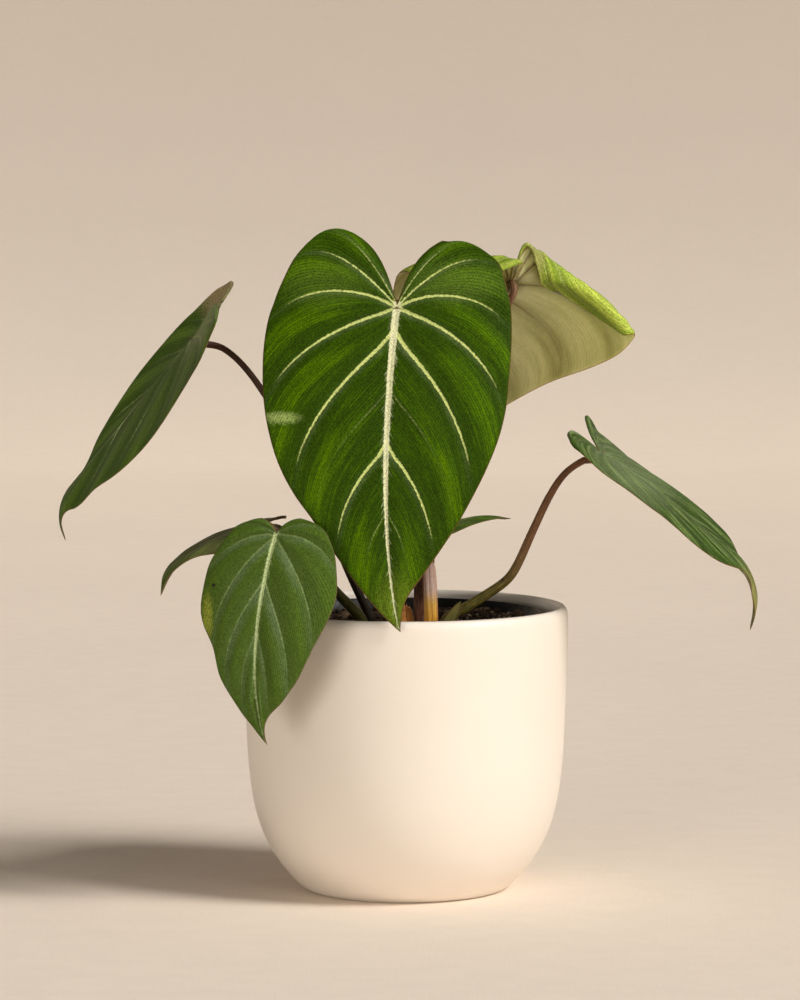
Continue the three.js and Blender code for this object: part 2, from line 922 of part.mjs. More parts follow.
// Sheaths: narrow cupped strips that stand in the soil beside the stalks.
function sheathPlate(sheath, room) {
  const foot = new THREE.Vector3(...sheath.foot);
  const top = new THREE.Vector3(...sheath.top);
  const up = top.clone().sub(foot).normalize();
  const across = new THREE.Vector3(0, 1, 0).cross(up).normalize();
  const front = new THREE.Vector3().crossVectors(up, across).normalize();
  foot.addScaledVector(up, -SHEATH_DEPTH - room);
  const points = [];
  const faces = [];
  for (let i = 0; i <= SHEATH_ROWS; i++)
    for (let j = 0; j <= SHEATH_COLUMNS; j++) {
      const share = i / SHEATH_ROWS;
      const side = (2 * j) / SHEATH_COLUMNS - 1;
      const wide = (sheath.width / 2) * (1 - (1 - sheath.taper) * share ** 3) + room;
      const notch = sheath.notch * share ** 4 * (1 - Math.abs(side));
      const round = 2.2 * share ** 6 * side * side;
      points.push(
        foot
          .clone()
          .lerp(top, share)
          .addScaledVector(up, -round - notch)
          .addScaledVector(across, wide * side)
          .addScaledVector(front, -sheath.cup * side * side),
      );
      if (i < SHEATH_ROWS && j < SHEATH_COLUMNS) {
        const a = i * (SHEATH_COLUMNS + 1) + j;
        const b = a + 1;
        const c = b + SHEATH_COLUMNS + 1;
        const d = a + SHEATH_COLUMNS + 1;
        faces.push([a, b, c], [a, c, d]);
      }
    }
  return thickened(points, faces, SHEATH_THICKNESS + 2 * room);
}

for (const [name, sheath] of Object.entries(SHEATHS)) {
  const plate = sheathPlate(sheath, 0);
  group.add(meshOf(name, plate.corners, plate.index, MATERIALS.sheath));
  holes.push(solidOf(sheathPlate(sheath, HOLE_ROOM)));
}

// Soil with an uneven top and a hole for each stalk.
const soilBase = NURSERY_BASE + NURSERY_WALL + CLEARANCE;
const soilEdge = nurserySlope(SOIL_TOP) - NURSERY_WALL - CLEARANCE - 0.3;
const soilTop = SOIL_RINGS.length + 2;
const bumps = (x, y) =>
  SOIL_BUMP * (Math.sin(x * 0.31 + y * 0.12) + Math.sin(y * 0.27 - x * 0.09 + 1)) +
  SOIL_HEAP * Math.exp(-((x - 34) ** 2 + (y - 16) ** 2) / 700);
const soilBody = turned(
  [
    [0, soilBase],
    [NURSERY_BASE_RADIUS - NURSERY_WALL - CLEARANCE - 0.2, soilBase],
    [soilEdge, SOIL_TOP],
    ...SOIL_RINGS.slice()
      .reverse()
      .map((radius) => [radius, SOIL_TOP]),
    [0, SOIL_TOP],
  ],
  SOIL_SIDES,
  (x, y, row) => (row > 2 && row <= soilTop ? bumps(x, y) : 0),
);
let soil = solidOf(soilBody);
for (const tool of holes) soil = soil.subtract(tool);
group.add(meshOfSolid("soil", soil, MATERIALS.soil));

export default group;
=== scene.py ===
"""Looks of a potted philodendron: velvety heart leaves with pale veins on brown petioles, in a
cream glazed cachepot. Lengths are millimetres until a mesh is made; Blender works in metres."""
from collections import namedtuple
from functools import partial, reduce

import bmesh
import bpy
import numpy as np
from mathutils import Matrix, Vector
from numpy.linalg import norm


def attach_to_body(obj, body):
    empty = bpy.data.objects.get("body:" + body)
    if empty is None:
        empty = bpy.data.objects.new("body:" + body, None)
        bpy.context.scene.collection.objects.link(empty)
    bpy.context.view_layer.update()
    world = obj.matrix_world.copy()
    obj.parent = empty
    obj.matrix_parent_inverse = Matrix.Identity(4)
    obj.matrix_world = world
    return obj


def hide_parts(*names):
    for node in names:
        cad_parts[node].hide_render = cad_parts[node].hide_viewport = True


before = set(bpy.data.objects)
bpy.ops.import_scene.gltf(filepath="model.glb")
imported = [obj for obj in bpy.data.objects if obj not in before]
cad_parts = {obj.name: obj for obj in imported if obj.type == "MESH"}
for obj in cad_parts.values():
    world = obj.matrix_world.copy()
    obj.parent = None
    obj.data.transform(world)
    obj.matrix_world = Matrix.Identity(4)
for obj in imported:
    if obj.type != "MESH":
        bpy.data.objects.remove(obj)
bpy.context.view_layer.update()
scene = bpy.context.scene

MM = 0.001
SEED = 7
TURN = 6.2832

# ---- Shapes: the same named values as the part's source, in millimetres and degrees.

POT_HEIGHT = 136.4
POT_FLOOR = 5
POT_OUTSIDE = [
    (47.5, 0), (49.6, 0.9), (52.4, 3), (56.5, 7.6), (61.2, 13.4), (66.4, 22), (70.5, 32),
    (73.1, 42), (74.7, 52), (76, 66), (77.1, 92), (78, 118), (78.1, 131), (77.7, 134.2),
    (76.6, 136), (75.8, POT_HEIGHT),
]
POT_INSIDE = [
    (74.9, 136.1), (74.1, 134.6), (73.9, 131), (73.4, 92), (72.3, 66), (69.3, 42), (62.6, 22),
    (54.5, 10.5), (49.5, 6.6), (45.5, POT_FLOOR),
]
NURSERY_WALL = 1.4
NURSERY_BASE_RADIUS = 44
NURSERY_RIM_RADIUS = 65.5
NURSERY_BASE = POT_FLOOR + 0.3
NURSERY_TOP = 133.4
NURSERY_LIP = 5
SOIL_TOP = 127.4
SOIL_BUMP = 1.1
SOIL_HEAP = 3.2
SOIL_HEAP_AT = (34, 16)
CRUMBS = 900
HANDLE = 0.36
LOBE_SHARE = 0.2
STALK_DEPTH = 12
UPRIGHT = 3
SHEATH_THICKNESS = 0.8
SHEATH_DEPTH = 5
# The lower veins run beside the midrib for a short way before they leave it.
JUNCTION_RUN = 3.2
JUNCTION_SHARE = 0.13

Curl = namedtuple("Curl", "along out line radius angle")
Half = namedtuple("Half", "width margin rise edge lobe lift phase curl", defaults=(0, 1, 0, 0, None))
Petiole = namedtuple("Petiole", "foot_radius top_radius path")
Sheath = namedtuple("Sheath", "foot top width cup taper notch")


HEART = [
    (-0.235, 0.4), (-0.24, 0.55), (-0.19, 0.74), (-0.09, 0.9), (0.03, 0.985), (0.16, 1),
    (0.33, 0.94), (0.5, 0.78), (0.66, 0.545), (0.78, 0.36), (0.88, 0.17), (0.95, 0.055), (1, 0),
]
MAIN_LEFT = [
    (-0.205, 0.39), (-0.19, 0.64), (-0.134, 0.86), (-0.043, 0.93), (0.05, 0.98), (0.145, 1),
    (0.24, 0.998), (0.336, 0.985), (0.428, 0.93), (0.517, 0.835), (0.603, 0.715), (0.685, 0.58),
    (0.762, 0.425), (0.837, 0.26), (0.911, 0.095), (1, 0),
]
MAIN_RIGHT = [
    (-0.232, 0.34), (-0.235, 0.57), (-0.167, 0.765), (-0.081, 0.885), (0.013, 0.973), (0.111, 1),
    (0.211, 0.992), (0.309, 0.963), (0.406, 0.907), (0.5, 0.824), (0.588, 0.706), (0.67, 0.56),
    (0.755, 0.43), (0.839, 0.297), (0.922, 0.157), (1, 0),
]
LOW_LEFT = [
    (-0.062, 0.24), (-0.068, 0.336), (-0.032, 0.6), (0.06, 0.81), (0.137, 0.91), (0.278, 1),
    (0.394, 0.953), (0.543, 0.778), (0.677, 0.606), (0.749, 0.464), (0.805, 0.333), (0.854, 0.175),
    (0.893, 0.086), (0.934, 0.036), (1, 0),
]
LOW_RIGHT = [
    (-0.067, 0.26), (-0.058, 0.41), (-0.022, 0.69), (0.031, 0.805), (0.112, 0.93), (0.167, 0.985),
    (0.249, 1), (0.33, 0.998), (0.392, 0.97), (0.454, 0.885), (0.514, 0.765), (0.561, 0.685),
    (0.624, 0.63), (0.686, 0.575), (0.746, 0.475), (0.805, 0.36), (0.868, 0.243), (0.92, 0.131),
    (1, 0),
]
WAVY_UPPER = [
    *HEART[:4], (0.02, 0.975), (0.12, 0.96), (0.2, 0.88), (0.28, 0.86), (0.4, 0.86), (0.52, 0.75),
    *HEART[-5:],
]
WAVY_LOWER = [
    (-0.2, 0.36), (-0.24, 0.52), (-0.2, 0.74), (-0.09, 0.9), (0.03, 0.985), (0.14, 0.98),
    (0.22, 0.94), (0.29, 0.86), (0.37, 0.82), (0.46, 0.81), (0.56, 0.72), (0.67, 0.55), *HEART[-4:],
]
VEINS = {
    "start": [0, 0.006, 0.01, 0.014, 0.018, 0.1, 0.28, 0.45, 0.65, 1],
    "end": [0, 0.085, 0.14, 0.29, 0.465, 0.66, 0.74, 0.815, 0.9, 1],
    "leave": [163, 152, 137, 122, 72, 45, 45, 45, 42, 30],
    "arrive": [118, 50, 62, 35, 19, 3, 3, 4, 12, 20],
}
LOW_VEINS = {
    "start": [0, 0.006, 0.012, 0.02, 0.23, 0.48, 0.7, 1],
    "end": [0, 0.12, 0.28, 0.58, 0.77, 0.88, 0.95, 1],
    "leave": [150, 125, 95, 45, 30, 26, 26, 30],
    "arrive": [105, 60, 40, 5, -6, 0, 5, 20],
}
Leaf = namedtuple(
    "Leaf", "attach heading pitch length left right roll bend hook hook_from lobe_bend sway twist"
    " wave waves veins", defaults=(0, 0, 0, 0.85, 0, 0, 0, 0, 3, VEINS))
LEAVES = {
    "main": Leaf(
        attach=(-3.9, -45, 282.2), heading=-87.3, pitch=-69.1, length=155,
        bend=14, lobe_bend=12, sway=6.6,
        left=Half(55.7, MAIN_LEFT, rise=6, edge=-8),
        right=Half(60, MAIN_RIGHT, rise=6, edge=-8),
    ),
    "upper_left": Leaf(
        attach=(-99.9, -20, 266.3), heading=166.5, pitch=-48.4, roll=-5.3, length=123.4,
        bend=3.5, hook=69, hook_from=0.797, lobe_bend=2.6, twist=11.8,
        wave=0.87, waves=3.1,
        left=Half(59.3, HEART, rise=-15.6, edge=-18.6, lobe=0.795, lift=6.8, phase=1.35),
        right=Half(49, HEART, rise=-8.5, edge=40.5, lobe=0.9, lift=3.8, phase=1.5),
    ),
    "back_right": Leaf(
        attach=(51.3, 15, 290.7), heading=110.6, pitch=-40.5, roll=2.5, length=108.7,
        bend=19.3, lobe_bend=38, twist=1.3,
        left=Half(59.6, HEART, rise=68.5, edge=-24.6, lobe=1.545, lift=36.3,
                curl=Curl(along=0.1, out=0.577, line=69.5, radius=8.7, angle=87.6)),
        right=Half(73.9, HEART, rise=25.9, edge=-55.5, lobe=0.615, lift=36.6,
                curl=Curl(along=-0.01, out=0.37, line=68, radius=2.6, angle=209)),
    ),
    "right": Leaf(
        attach=(92.9, -5, 210.8), heading=4.8, pitch=-32, roll=7.5, length=122.7,
        bend=18.2, hook=59.7, hook_from=0.682, lobe_bend=16.7, twist=-2.1,
        wave=1.7, waves=2.71,
        left=Half(37, WAVY_UPPER, rise=5.8, edge=2.3, lobe=0.326, lift=25.5, phase=0.75),
        right=Half(52.7, WAVY_LOWER, rise=1.2, edge=-10, lobe=0.64, lift=6.8, phase=0.375),
    ),
    "lower_left": Leaf(
        attach=(-59.2, -81, 178.2), heading=-108.6, pitch=-73.6, length=97.8,
        bend=18, lobe_bend=10, sway=6.6,
        veins=LOW_VEINS,
        left=Half(35.3, LOW_LEFT, rise=5, edge=-14),
        right=Half(30.5, LOW_RIGHT, rise=5, edge=-14),
    ),
    "left_back": Leaf(
        attach=(-69.6, -34, 176.5), heading=203, pitch=-8.4, roll=18.5, length=62.6,
        bend=35.2, hook=27.5, hook_from=0.612, lobe_bend=44.6, twist=-12,
        left=Half(30.2, HEART, rise=1.2, edge=-72, lobe=0.5),
        right=Half(35.3, HEART, rise=15.1, edge=12.6, lobe=0.85, lift=7.2),
    ),
    "hidden": Leaf(
        attach=(-8.2, -38, 170.6), heading=5.7, pitch=17, roll=0.8, length=59.6,
        bend=7.7, hook=17.4, hook_from=0.6, lobe_bend=0,
        left=Half(20.6, HEART, rise=2.4, edge=-27.9, lobe=0.7),
        right=Half(21.3, HEART, rise=-3.6, edge=-19, lobe=0.7),
    ),
}
PETIOLES = {
    "main": Petiole(3, 2.1, [
        (6.9, -8, 129), (6.4, -10, 151), (4, -12, 188), (1, -20, 236), (-2, -31, 270),
    ]),
    "upper_left": Petiole(2.1, 1.5, [
        (-16.9, -2.5, 129.7), (-26.3, -6, 150.9), (-45, -11, 195), (-60, -14, 226.5),
        (-74, -15, 248.4), (-86, -17, 260),
    ]),
    "back_right": Petiole(2.4, 1.6, [
        (12, -2.5, 129), (12.2, 0, 165), (20.5, 5, 210), (38, 11, 256), (48, 14, 277),
    ]),
    "right": Petiole(2.7, 1.6, [
        (19.3, -12, 130.3), (30.6, -12, 137.5), (43.4, -11, 145.6), (48.7, -11, 149.9),
        (52.1, -10.5, 154.4), (55.2, -10, 160.4), (61.6, -9, 174.7), (68.8, -8, 189.5),
        (76, -7, 200), (85, -6, 206.3),
    ]),
    "lower_left": Petiole(2.9, 1, [
        (-21.3, -12, 130.8), (-32.5, -25, 144.8), (-49, -46, 166), (-60.5, -64, 178.5),
        (-63.5, -72, 181.5),
    ]),
    "left_back": Petiole(1.9, 1.3, [
        (-21, 5.5, 130.5), (-32.8, -8, 143.1), (-49, -22, 160), (-60, -30, 168),
    ]),
    "hidden": Petiole(1.8, 1.2, [
        (-7, -24, 129), (-8, -27, 145), (-9, -34, 160),
    ]),
}
SHEATHS = {
    "cataphyll": Sheath(foot=(12.3, -16.3, 127), top=(11.4, -16.8, 160), width=6.6, cup=-1,
        taper=0.75, notch=0),
    "sheath_brown": Sheath(foot=(1.2, -14, 127), top=(0, -15, 139.5), width=6.4, cup=1.6,
        taper=0.5, notch=0),
    "sheath_right": Sheath(foot=(18.5, -18.6, 127), top=(28, -18.8, 141.6), width=6, cup=1.4,
        taper=0.3, notch=3),
}

# ---- Geometry, all in millimetres.

def smoothstep(low, high, value):
    t = np.clip((value - low) / (high - low), 0, 1)
    return t * t * (3 - 2 * t)


def between(values, at):
    """Value between the whole-numbered knots of a list, without overshoot."""
    values = np.asarray(values, float)
    steps = np.diff(values)
    before, after = steps[:-1], steps[1:]
    product = before * after
    total = np.where(product > 0, before + after, 1)
    inner = np.where(product > 0, 2 * product / total, 0)
    slopes = np.concatenate([steps[:1], inner, steps[-1:]])
    at = np.asarray(at, float)
    i = np.clip(np.floor(at).astype(int), 0, len(values) - 2)
    t = at - i
    square, cube = t * t, t * t * t
    return (
        (2 * cube - 3 * square + 1) * values[i]
        + (cube - 2 * square + t) * slopes[i]
        + (3 * square - 2 * cube) * values[i + 1]
        + (cube - square) * slopes[i + 1]
    )


def smooth_run(points, steps=24):
    """A smooth curve through points, as a function of the share of its run."""
    points = np.asarray(points, float)
    ends = 2 * points[0] - points[1], 2 * points[-1] - points[-2]
    knots = np.vstack([ends[0], points, ends[1]])
    t = (np.arange(steps) / steps)[None, :, None]
    a, b, c, d = (knots[k:len(points) - 1 + k, None, :] for k in range(4))
    fine = 0.5 * (
        2 * b + (c - a) * t + (2 * a - 5 * b + 4 * c - d) * t**2 + (3 * b - a - 3 * c + d) * t**3
    )
    fine = np.vstack([fine.reshape(-1, points.shape[1]), points[-1:]])
    run = np.concatenate([[0], np.cumsum(norm(np.diff(fine, axis=0), axis=1))])

    def at(share):
        goal = np.clip(share, 0, 1) * run[-1]
        return np.stack([np.interp(goal, run, fine[:, k]) for k in range(fine.shape[1])], -1)

    return at


def margin_run(leaf, side):
    return smooth_run([
        (along * leaf.length * (side.lobe if along < 0 else 1), out * side.width)
        for along, out in side.margin
    ])


def flat_point(leaf, side, run, P, T):
    """Flat place on half a leaf: vein number P, share T from the midrib to the margin."""
    start, end, leave, arrive = (leaf.veins[k] for k in ("start", "end", "leave", "arrive"))
    count = len(start) - 1
    low_veins = smoothstep(3.6, 4.6, P) * (1 - smoothstep(count - 1, count, P))
    merge = JUNCTION_RUN * low_veins * np.clip(1 - np.asarray(T) / JUNCTION_SHARE, 0, 1) ** 2
    foot = np.stack([between(start, P) * leaf.length, 0 * P], -1)
    tip = run(between(end, P))
    reach = norm(tip - foot, axis=-1)[..., None] * HANDLE
    out, back = np.radians(between(leave, P)), np.radians(between(arrive, P))
    first = foot + reach * np.stack([np.cos(out), np.sin(out)], -1)
    second = tip - reach * np.stack([np.cos(back), np.sin(back)], -1)
    T = np.asarray(T)[..., None]
    rest = 1 - T
    place = rest**3 * foot + 3 * rest**2 * T * first + 3 * rest * T**2 * second + T**3 * tip
    return place - np.stack([merge, 0 * merge], -1)


def rail(leaf, along):
    """The midrib in side view: distance along, height and slope."""
    marks = np.linspace(-0.4 * leaf.length, leaf.length, 281)

    def slope(at):
        share = at / leaf.length
        hook = np.clip((share - leaf.hook_from) / (1 - leaf.hook_from), 0, 1)
        ahead = -np.radians(leaf.bend) * share - np.radians(leaf.hook) * hook
        return np.where(share < 0, np.radians(leaf.lobe_bend) * -share / 0.25, ahead)

    turn = slope(marks)
    step = marks[1] - marks[0]
    x = np.concatenate([[0], np.cumsum((np.cos(turn[1:]) + np.cos(turn[:-1])) / 2 * step)])
    z = np.concatenate([[0], np.cumsum((np.sin(turn[1:]) + np.sin(turn[:-1])) / 2 * step)])
    x, z = x - np.interp(0, marks, x), z - np.interp(0, marks, z)
    return np.interp(along, marks, x), np.interp(along, marks, z), slope(along)


def curled(curl, leaf, side, along, out):
    """A margin rolled under about a straight line of the flat leaf."""
    origin = curl.along * leaf.length, curl.out * side.width
    line, limit = np.radians(curl.line), np.radians(curl.angle)
    dx, dy = np.cos(line), np.sin(line)
    past = -(along - origin[0]) * dy + (out - origin[1]) * dx
    beside = (along - origin[0]) * dx + (out - origin[1]) * dy
    turn = np.clip(past / curl.radius, 0, limit)
    rest = np.maximum(past - curl.radius * limit, 0)
    across = curl.radius * np.sin(turn) + rest * np.cos(limit)
    down = curl.radius * (1 - np.cos(turn)) + rest * np.sin(limit)
    under = past > 0
    return (
        np.where(under, origin[0] + dx * beside - dy * across, along),
        np.where(under, origin[1] + dy * beside + dx * across, out),
        np.where(under, -down, 0),
    )


def leaf_axes(leaf):
    """Towards the tip, to the leaf's left, and out of its upper face."""
    heading, pitch, roll = np.radians([leaf.heading, leaf.pitch, leaf.roll])
    level = np.array([np.cos(heading), np.sin(heading), 0])
    tip = level * np.cos(pitch) + np.array([0, 0, np.sin(pitch)])
    up = -level * np.sin(pitch) + np.array([0, 0, np.cos(pitch)])
    left = np.cross(up, tip)
    return tip, left * np.cos(roll) + up * np.sin(roll), up * np.cos(roll) - left * np.sin(roll)


def blade_point(leaf, side_name, P, T):
    """Points of the blade's middle surface, and their flat places."""
    side = getattr(leaf, side_name)
    count = len(leaf.veins["start"]) - 1
    flat = flat_point(leaf, side, margin_run(leaf, side), P, T)
    along, out = flat[..., 0], flat[..., 1]
    height = np.zeros_like(along)
    if side.curl:
        along, out, height = curled(side.curl, leaf, side, along, out)
    calm = np.clip(np.minimum(P / 1.5, (count - P) / 1.5), 0, 1)
    turn = P * leaf.waves / count + side.phase
    height = height + leaf.wave * np.sin(2 * np.pi * turn) * T**3 * calm
    height = height + side.lift * np.clip(-along / (LOBE_SHARE * leaf.length), 0, 3) ** 1.5
    rise = np.radians(side.rise)
    spread = (np.radians(side.edge) - rise) / side.width
    tilt = rise + spread * np.maximum(out, 0)
    across, lifted = out * np.cos(rise), out * np.sin(rise)
    if abs(spread) > 1e-6:
        bent = out > 0
        across = np.where(bent, (np.sin(tilt) - np.sin(rise)) / spread, across)
        lifted = np.where(bent, (np.cos(rise) - np.cos(tilt)) / spread, lifted)
    across = across - np.sin(tilt) * height
    lifted = lifted + np.cos(tilt) * height
    share = np.clip(along / leaf.length, 0, 1)
    bow = leaf.sway * np.maximum(np.sin(np.pi * share**1.3), 0) ** 0.65
    twist = np.radians(leaf.twist) * share
    signed = -across if side_name == "left" else across
    lateral = signed * np.cos(twist) - lifted * np.sin(twist) + bow
    above = signed * np.sin(twist) + lifted * np.cos(twist)
    x, z, slope = rail(leaf, along)
    tip, left, up = leaf_axes(leaf)
    return (
        np.asarray(leaf.attach)
        + (x - np.sin(slope) * above)[..., None] * tip
        - lateral[..., None] * left
        + (z + np.cos(slope) * above)[..., None] * up
    ), flat

# ---- Meshes.

def placed(name, data):
    made = bpy.data.objects.new(name, data)
    scene.collection.objects.link(made)
    return made


def without_loose(form, mesh):
    """Write a form into a mesh, without the points that no face uses."""
    loose = [vertex for vertex in form.verts if not vertex.link_faces]
    bmesh.ops.delete(form, geom=loose, context="VERTS")
    form.to_mesh(mesh)
    form.free()


def mesh_object(name, points, faces, materials, picks=None, attributes=None):
    """A Blender object from points in millimetres."""
    mesh = bpy.data.meshes.new(name)
    mesh.from_pydata((np.asarray(points) * MM).tolist(), [], [list(face) for face in faces])
    for material in materials:
        mesh.materials.append(material)
    if picks is not None:
        mesh.polygons.foreach_set("material_index", np.asarray(picks, np.int32))
    mesh.polygons.foreach_set("use_smooth", np.full(len(faces), True))
    for key, values in (attributes or {}).items():
        layer = mesh.attributes.new(key, "FLOAT", "POINT")
        layer.data.foreach_set("value", np.asarray(values, np.float32).ravel())
    mesh.update()
    return placed(name, mesh)


def piece(made, node):
    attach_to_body(made, "root")
    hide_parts(node)
    return made


def grid_faces(grid):
    """Quads over a grid of point numbers, triangles where two corners are one point."""
    a, b, c, d = grid[:-1, :-1], grid[1:, :-1], grid[1:, 1:], grid[:-1, 1:]
    quads = np.stack([a, b, c, d], -1).reshape(-1, 4)
    return [tuple(dict.fromkeys(quad)) for quad in quads.tolist()]


def sheet_normals(points, faces):
    normals = np.zeros_like(points)
    for k in (3, 4):
        some = np.array([face for face in faces if len(face) == k], int).reshape(-1, k)
        cross = np.cross(points[some[:, 2]] - points[some[:, 0]],
                         points[some[:, -1]] - points[some[:, k - 3]])
        for corner in some.T:
            np.add.at(normals, corner, cross)
    return normals / np.maximum(norm(normals, axis=1), 1e-12)[:, None]


def plate_faces(faces, number):
    """Both faces of a plate and its rim, all facing out; number is the grid of its points."""
    total = number.size
    edge = np.concatenate([number[:, 0], number[-1, 1:], number[-2::-1, -1], number[0, -2:0:-1]])
    edge = edge[np.concatenate([[True], np.diff(edge) != 0])].tolist()
    rim = [(a, b, b + total, a + total) for a, b in zip(edge, edge[1:] + edge[:1])]
    if (edge[0], edge[1]) in {(a, b) for face in faces for a, b in zip(face, face[1:] + face[:1])}:
        rim = [face[::-1] for face in rim]
    return faces + [tuple(k + total for k in face[::-1]) for face in faces] + rim


# Finish of one leaf: rows between veins, columns from midrib to margin, and its relief.
# vein_width scales the drawn veins; quilt is the swelling between them.
Detail = namedtuple("Detail", "rows columns vein_width midrib quilt groove ridge")

# The lists below are by the number of veins that a half of the leaf has.
# Half width of each main vein where it leaves the midrib, by vein number.
VEIN_HALF = {10: [0, 0.16, 0.38, 0.58, 0.68, 0.74, 0.04, 0.6, 0.05, 0],
             8: [0, 0.3, 0.5, 0.6, 0.5, 0.4, 0.05, 0]}
# Share of each vein's run after which it fades, and the share over which it does.
VEIN_FADE = {10: [0, 0.35, 0.5, 0.58, 0.6, 0.62, 0.2, 0.62, 0.25, 0],
             8: [0, 0.35, 0.55, 0.6, 0.6, 0.55, 0.4, 0]}
VEIN_FADE_RUN = 0.36
# How clearly each vein shows; the hair-thin ones are faint.
VEIN_SHOW = {10: [0, 0.8, 1, 1, 1, 1, 0.4, 1, 0.4, 0], 8: [0, 0.35, 0.9, 1, 1, 0.5, 0.1, 0]}
# Veins between which the blade swells and brightens; the hair-thin ones are left out.
STRONG = {10: [0, 2, 3, 4, 5, 7, 9], 8: [0, 1, 2, 3, 4, 5, 7]}
# Half width of the midrib against the share of its length.
MIDRIB_SHARE = [0, 0.1, 0.3, 0.5, 0.62, 0.8, 0.94, 1]
MIDRIB_HALF = [1.8, 1.65, 1.35, 1.2, 0.9, 0.5, 0.25, 0.05]
VEIN_CROWD = 0.75
STRIPE = 1.45
MARGIN_HALF = 0.12
BODY_HALF = 0.3
STALK_SIDES = 28
STALK_STEP = 2.5
STALK_FLUTES = 5
FLUTE_DEPTH = 0.035
KNEE_SWELL = 0.1


def blade_piece(name, leaf, detail, upper, under):
    """A leaf blade as two faces with relief, and what its shaders need at each point."""
    count = len(leaf.veins["start"]) - 1
    u = np.linspace(0, count, count * detail.rows + 1)
    numbers = u - VEIN_CROWD * np.sin(2 * np.pi * u) / (2 * np.pi)
    shares = np.linspace(0, 1, detail.columns + 1) ** 1.25
    P, T = np.meshgrid(numbers, shares, indexing="ij")
    nearest = np.clip(np.round(P), 1, count - 1)
    half_width, fade_from, shown = (
        np.array(table[count + 1])[nearest.astype(int)] for table in (VEIN_HALF, VEIN_FADE, VEIN_SHOW))
    strong = STRONG[count + 1]
    swell = np.interp(P, strong, np.arange(len(strong)))
    centre = 0.5 - 0.5 * np.cos(2 * np.pi * swell)
    parts = {}
    for side_name in ("left", "right"):
        side = getattr(leaf, side_name)
        at = partial(flat_point, leaf, side, margin_run(leaf, side))
        points, flat = blade_point(leaf, side_name, P, T)
        vein = at(nearest, T)
        ahead = at(nearest, np.minimum(T + 0.01, 1.01)) - vein
        ahead /= np.maximum(norm(ahead, axis=-1), 1e-9)[..., None]
        apart = flat - vein
        to_vein = np.abs(apart[..., 0] * ahead[..., 1] - apart[..., 1] * ahead[..., 0])
        taper = half_width * (1.25 - 1.05 * T**0.8) - 1.6 * smoothstep(0.8, 1, T)
        to_midrib = np.hypot(flat[..., 1], np.minimum(flat[..., 0], 0) * 1.4)
        rib = np.interp(flat[..., 0] / leaf.length, MIDRIB_SHARE, MIDRIB_HALF) * detail.midrib
        lateral = to_vein - taper * detail.vein_width
        margin, sinus = at(P, np.ones_like(P)), at(np.zeros_like(P), T)
        rim = np.minimum(norm(flat - margin, axis=-1), norm(flat - sinus, axis=-1))
        mid = at(u[:, None] + 0 * P, np.full_like(P, 0.6))
        spans = norm(np.diff(mid[:, 0], axis=0), axis=-1)
        stripes = np.maximum(np.round(
            np.add.reduceat(spans, np.arange(0, len(spans), detail.rows)) / STRIPE), 2)
        lane = np.interp(P, np.arange(count + 1), np.concatenate([[0], np.cumsum(stripes)]))
        steps = norm(np.diff(flat, axis=1), axis=-1)
        reach = np.concatenate([np.zeros((len(P), 1)), np.cumsum(steps, axis=1)], axis=1)
        quilt = detail.quilt * centre * (4 * T * (1 - T)) ** 0.6
        quilt = quilt + detail.quilt * 0.5 * T * (1 - T)
        strength = smoothstep(-0.3, 0.4, taper)
        crease = np.maximum(
            np.exp(-((to_vein / (0.9 * detail.vein_width)) ** 2))
            * strength * np.minimum(half_width * 1.6, 1),
            np.exp(-((to_midrib / (1.2 * detail.midrib)) ** 2)),
        )
        crease = crease * smoothstep(0, 2, rim)
        plate = MARGIN_HALF + (BODY_HALF - MARGIN_HALF) * smoothstep(0, 2.5, rim)
        parts[side_name] = dict(
            points=points,
            top=plate + quilt - detail.groove * crease,
            bottom=-plate + quilt - detail.ridge * crease,
            vein=lateral,
            mist=lateral + 3 * (1 - shown),
            fade=(1 - smoothstep(0, 1, (T - fade_from) / VEIN_FADE_RUN)) * shown,
            rib=to_midrib - rib,
            lane=lane + (100 if side_name == "left" else 0),
            reach=reach,
            centre=centre,
            tipward=np.sin(2 * np.pi * swell),
            rim=rim,
            out=T,
        )
    joined = {
        key: np.concatenate([parts["left"][key][:, :0:-1], parts["right"][key]], axis=1)
        for key in parts["left"]
    }
    rows, columns = joined["out"].shape
    number = np.arange(rows * columns).reshape(rows, columns)
    number[-1, :] = number[-1, 0]
    faces = grid_faces(number)
    points = joined.pop("points").reshape(-1, 3)
    normals = sheet_normals(points, faces)
    _, _, up = leaf_axes(leaf)
    centre_row = number[rows // 2, columns // 2]
    if normals[centre_row] @ up < 0:
        faces = [face[::-1] for face in faces]
        normals = -normals
    top = points + normals * joined.pop("top").reshape(-1, 1)
    bottom = points + normals * joined.pop("bottom").reshape(-1, 1)
    all_faces = plate_faces(faces, number)
    picks = [0] * len(faces) + [1] * (len(all_faces) - len(faces))
    attributes = {key: np.tile(values.ravel(), 2) for key, values in joined.items()}
    made = mesh_object("leaf_" + name, np.vstack([top, bottom]), all_faces, [upper, under], picks,
                       attributes)
    form = bmesh.new()
    form.from_mesh(made.data)
    without_loose(form, made.data)
    return piece(made, "blade_" + name)


